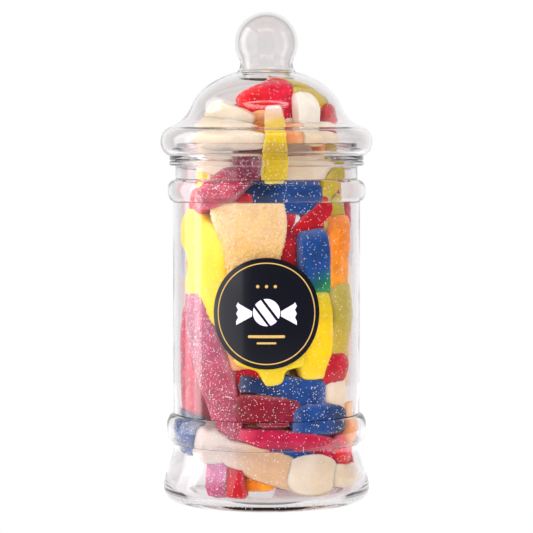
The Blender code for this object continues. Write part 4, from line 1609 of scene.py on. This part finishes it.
@dataclass
class Studio:
    """A pale floor, soft light and the camera."""

    image_side: float = 533.0
    sensor: float = 36.0
    eye_height: float = 165.0 * MM
    distance: float = 1120.0 * MM
    scale: float = 0.4717 * MM
    middle_row: float = 266.5
    rest_row: float = 500.5
    white: float = 1.75
    floor_glow: float = 0.85
    dim_side: float = 0.05
    from_below: float = 0.3
    table_side: float = 0.6
    table_front: float = 0.043

    def camera(self) -> None:
        """Set the camera level with the jar's neck, looking at the middle of the picture."""
        data = bpy.data.cameras.new("camera")
        camera = bpy.data.objects.new("camera", data)
        bpy.context.scene.collection.objects.link(camera)
        data.sensor_width = self.sensor
        data.lens = self.distance / self.scale * self.sensor / self.image_side
        target = Vector((0.0, 0.0, (self.rest_row - self.middle_row) * self.scale))
        camera.location = (0.0, -self.distance, self.eye_height)
        camera.rotation_euler = (target - camera.location).to_track_quat("-Z", "Y").to_euler()
        bpy.context.scene.camera = camera

    def floor(self) -> None:
        """Lay the pale table top. Its edges are as white as the room, and it stops short of
        where the jar's wall would mirror it."""
        plane = bpy.ops.mesh.primitive_plane_add
        floor = add_shape("floor", plane, size=self.table_side, location=(0.0, 0.0, 0.0))
        with editing(floor):
            bpy.ops.transform.translate(value=(0.0, self.table_side / 2.0 - self.table_front, 0.0))
            bpy.ops.mesh.subdivide(number_cuts=3)
        material, tree, shader = new_material("matt_white_board")
        place = add_node(tree, "ShaderNodeTexCoord").outputs["Object"]
        mottle = add_node(tree, "ShaderNodeTexNoise", {"Vector": place, "Scale": 40.0}).outputs[0]
        colour = add_node(
            tree, "ShaderNodeMix", {0: mottle, 6: linear("#747474"), 7: linear("#7a7a7a")}, data_type="RGBA"
        ).outputs[2]
        tree.links.new(colour, shader.inputs["Base Color"])
        shader.inputs["Emission Color"].default_value = linear("#ffffff")
        shader.inputs["Emission Strength"].default_value = self.floor_glow
        shader.inputs["Roughness"].default_value = 0.9
        shader.inputs["Specular IOR Level"].default_value = 0.1
        floor.data.materials.append(material)

    def panel(
        self, name: str, centre: tuple[float, float, float], size: tuple[float, float], radiance: float
    ) -> None:
        """Hang a soft panel: one at the left faces right, and one over the jar faces down.

        Args:
            name: Its name.
            centre: Its centre.
            size: Its width and height.
            radiance: How bright its face is, where white is 1.
        """
        data = bpy.data.lights.new(name, "AREA")
        data.shape = "RECTANGLE"
        data.size, data.size_y = size
        data.energy = radiance * math.pi * size[0] * size[1]
        panel = bpy.data.objects.new(name, data)
        bpy.context.scene.collection.objects.link(panel)
        panel.location = centre
        aim = Vector((1.0, 0.0, 0.0) if centre[0] else (0.0, 0.0, -1.0))
        panel.rotation_euler = aim.to_track_quat("-Z", "Y").to_euler()
        panel.visible_camera = False
        panel.visible_diffuse = False

    def mirrored(self, tree: bpy.types.NodeTree, path: bpy.types.Node) -> bpy.types.NodeSocket:
        """Light the studio as the clear walls show it: white behind the jar, dim at its sides and in
        front of it, with a little light from below. What is seen straight through the walls from
        behind is white too.

        Args:
            tree: The world's node tree.
            path: The node that tells how the light came.

        Returns:
            The socket of the background.
        """
        way = add_node(tree, "ShaderNodeTexCoord").outputs["Generated"]
        parts = add_node(tree, "ShaderNodeSeparateXYZ", {0: way})
        ramps = []
        for axis, start, end, low, high in (
            ("Y", 0.35, 0.92, self.dim_side, 1.0),
            ("Z", -0.14, -0.6, 0.0, self.from_below),
            ("Y", -0.05, -0.5, 0.0, 1.0),
        ):
            inputs = {0: parts.outputs[axis], 1: start, 2: end, 3: low, 4: high}
            ramp = add_node(tree, "ShaderNodeMapRange", inputs, interpolation_type="SMOOTHSTEP")
            ramps.append(ramp.outputs[0])
        behind, below, front = ramps
        straight = add_node(
            tree, "ShaderNodeMath", {0: path.outputs["Glossy Depth"], 1: 0.5}, operation="LESS_THAN"
        ).outputs[0]
        through = add_node(tree, "ShaderNodeMath", {0: front, 1: straight}, operation="MULTIPLY").outputs[0]
        shade = add_node(tree, "ShaderNodeMath", {0: behind, 1: below}, operation="MAXIMUM").outputs[0]
        shade = add_node(tree, "ShaderNodeMath", {0: shade, 1: through}, operation="MAXIMUM").outputs[0]
        inputs = {"Color": linear("#ffffff"), "Strength": shade}
        return add_node(tree, "ShaderNodeBackground", inputs).outputs[0]

    def world(self) -> None:
        """Surround the jar with white, and with the dim side of the studio in what it mirrors."""
        world = bpy.data.worlds.new("white_studio")
        world.use_nodes = True
        tree = world.node_tree
        bpy.context.scene.world = world
        white = tree.nodes["Background"]
        world.cycles.sampling_method = "NONE"
        path = add_node(tree, "ShaderNodeLightPath")
        inputs = {0: path.outputs["Is Camera Ray"], 1: 0.0, 2: 1.0, 3: self.white, 4: 1.0}
        lit = add_node(tree, "ShaderNodeMapRange", inputs).outputs[0]
        white.inputs["Color"].default_value = linear("#ffffff")
        tree.links.new(lit, white.inputs["Strength"])
        inputs = {0: path.outputs["Is Glossy Ray"], 1: path.outputs["Is Transmission Ray"]}
        seen = add_node(tree, "ShaderNodeMath", inputs, operation="MAXIMUM").outputs[0]
        inputs = {0: path.outputs["Diffuse Depth"], 1: 0.5}
        unlit = add_node(tree, "ShaderNodeMath", inputs, operation="LESS_THAN").outputs[0]
        seen = add_node(tree, "ShaderNodeMath", {0: seen, 1: unlit}, operation="MULTIPLY").outputs[0]
        inputs = {0: seen, 1: white.outputs[0], 2: self.mirrored(tree, path)}
        mixed = add_node(tree, "ShaderNodeMixShader", inputs).outputs[0]
        tree.links.new(mixed, tree.nodes["World Output"].inputs["Surface"])

    def build(self) -> None:
        """Set up the camera, the floor, the light and how the picture is developed."""
        self.camera()
        self.floor()
        self.world()
        for row in (
            ("left_panel", (-0.9, -0.334, -0.24), (1.66, 0.96), 0.6),
            ("left_high_panel", (-0.9, -0.334, 0.66), (1.66, 0.84), 0.95),
            ("ceiling_strip", (0.0, -0.75, 1.15), (1.3, 0.1), 4.5),
            ("left_strip", (-0.85, 0.04, 0.15), (0.19, 1.6), 2.6),
            ("left_back_strip", (-0.85, 0.29, 0.15), (0.3, 1.6), 1.1),
        ):
            self.panel(*row)
        scene = bpy.context.scene
        scene.view_settings.view_transform = "Standard"
        scene.cycles.max_bounces = 24
        scene.cycles.transmission_bounces = 20
        scene.cycles.transparent_max_bounces = 16
        scene.cycles.glossy_bounces = 8
        scene.cycles.diffuse_bounces = 4
        scene.cycles.caustics_refractive = True
        scene.cycles.caustics_reflective = False
        # Blurred gloss would make the clear walls swallow the light that reaches the sweets.
        scene.cycles.blur_glossy = 0.0


def main() -> None:
    """Build the studio, the jar, its lid, its label, the sweets and their sugar."""
    logging.basicConfig(level=logging.INFO, format="%(name)s %(message)s")
    Studio().build()
    jar, lid = Jar(), Lid()
    jar.build()
    lid.build()
    Label(jar).build()
    room = Room(jar, lid)
    sweets = Heap(room).build()
    LooseSugar(room).build(sweets)


if __name__ == "__main__":
    main()
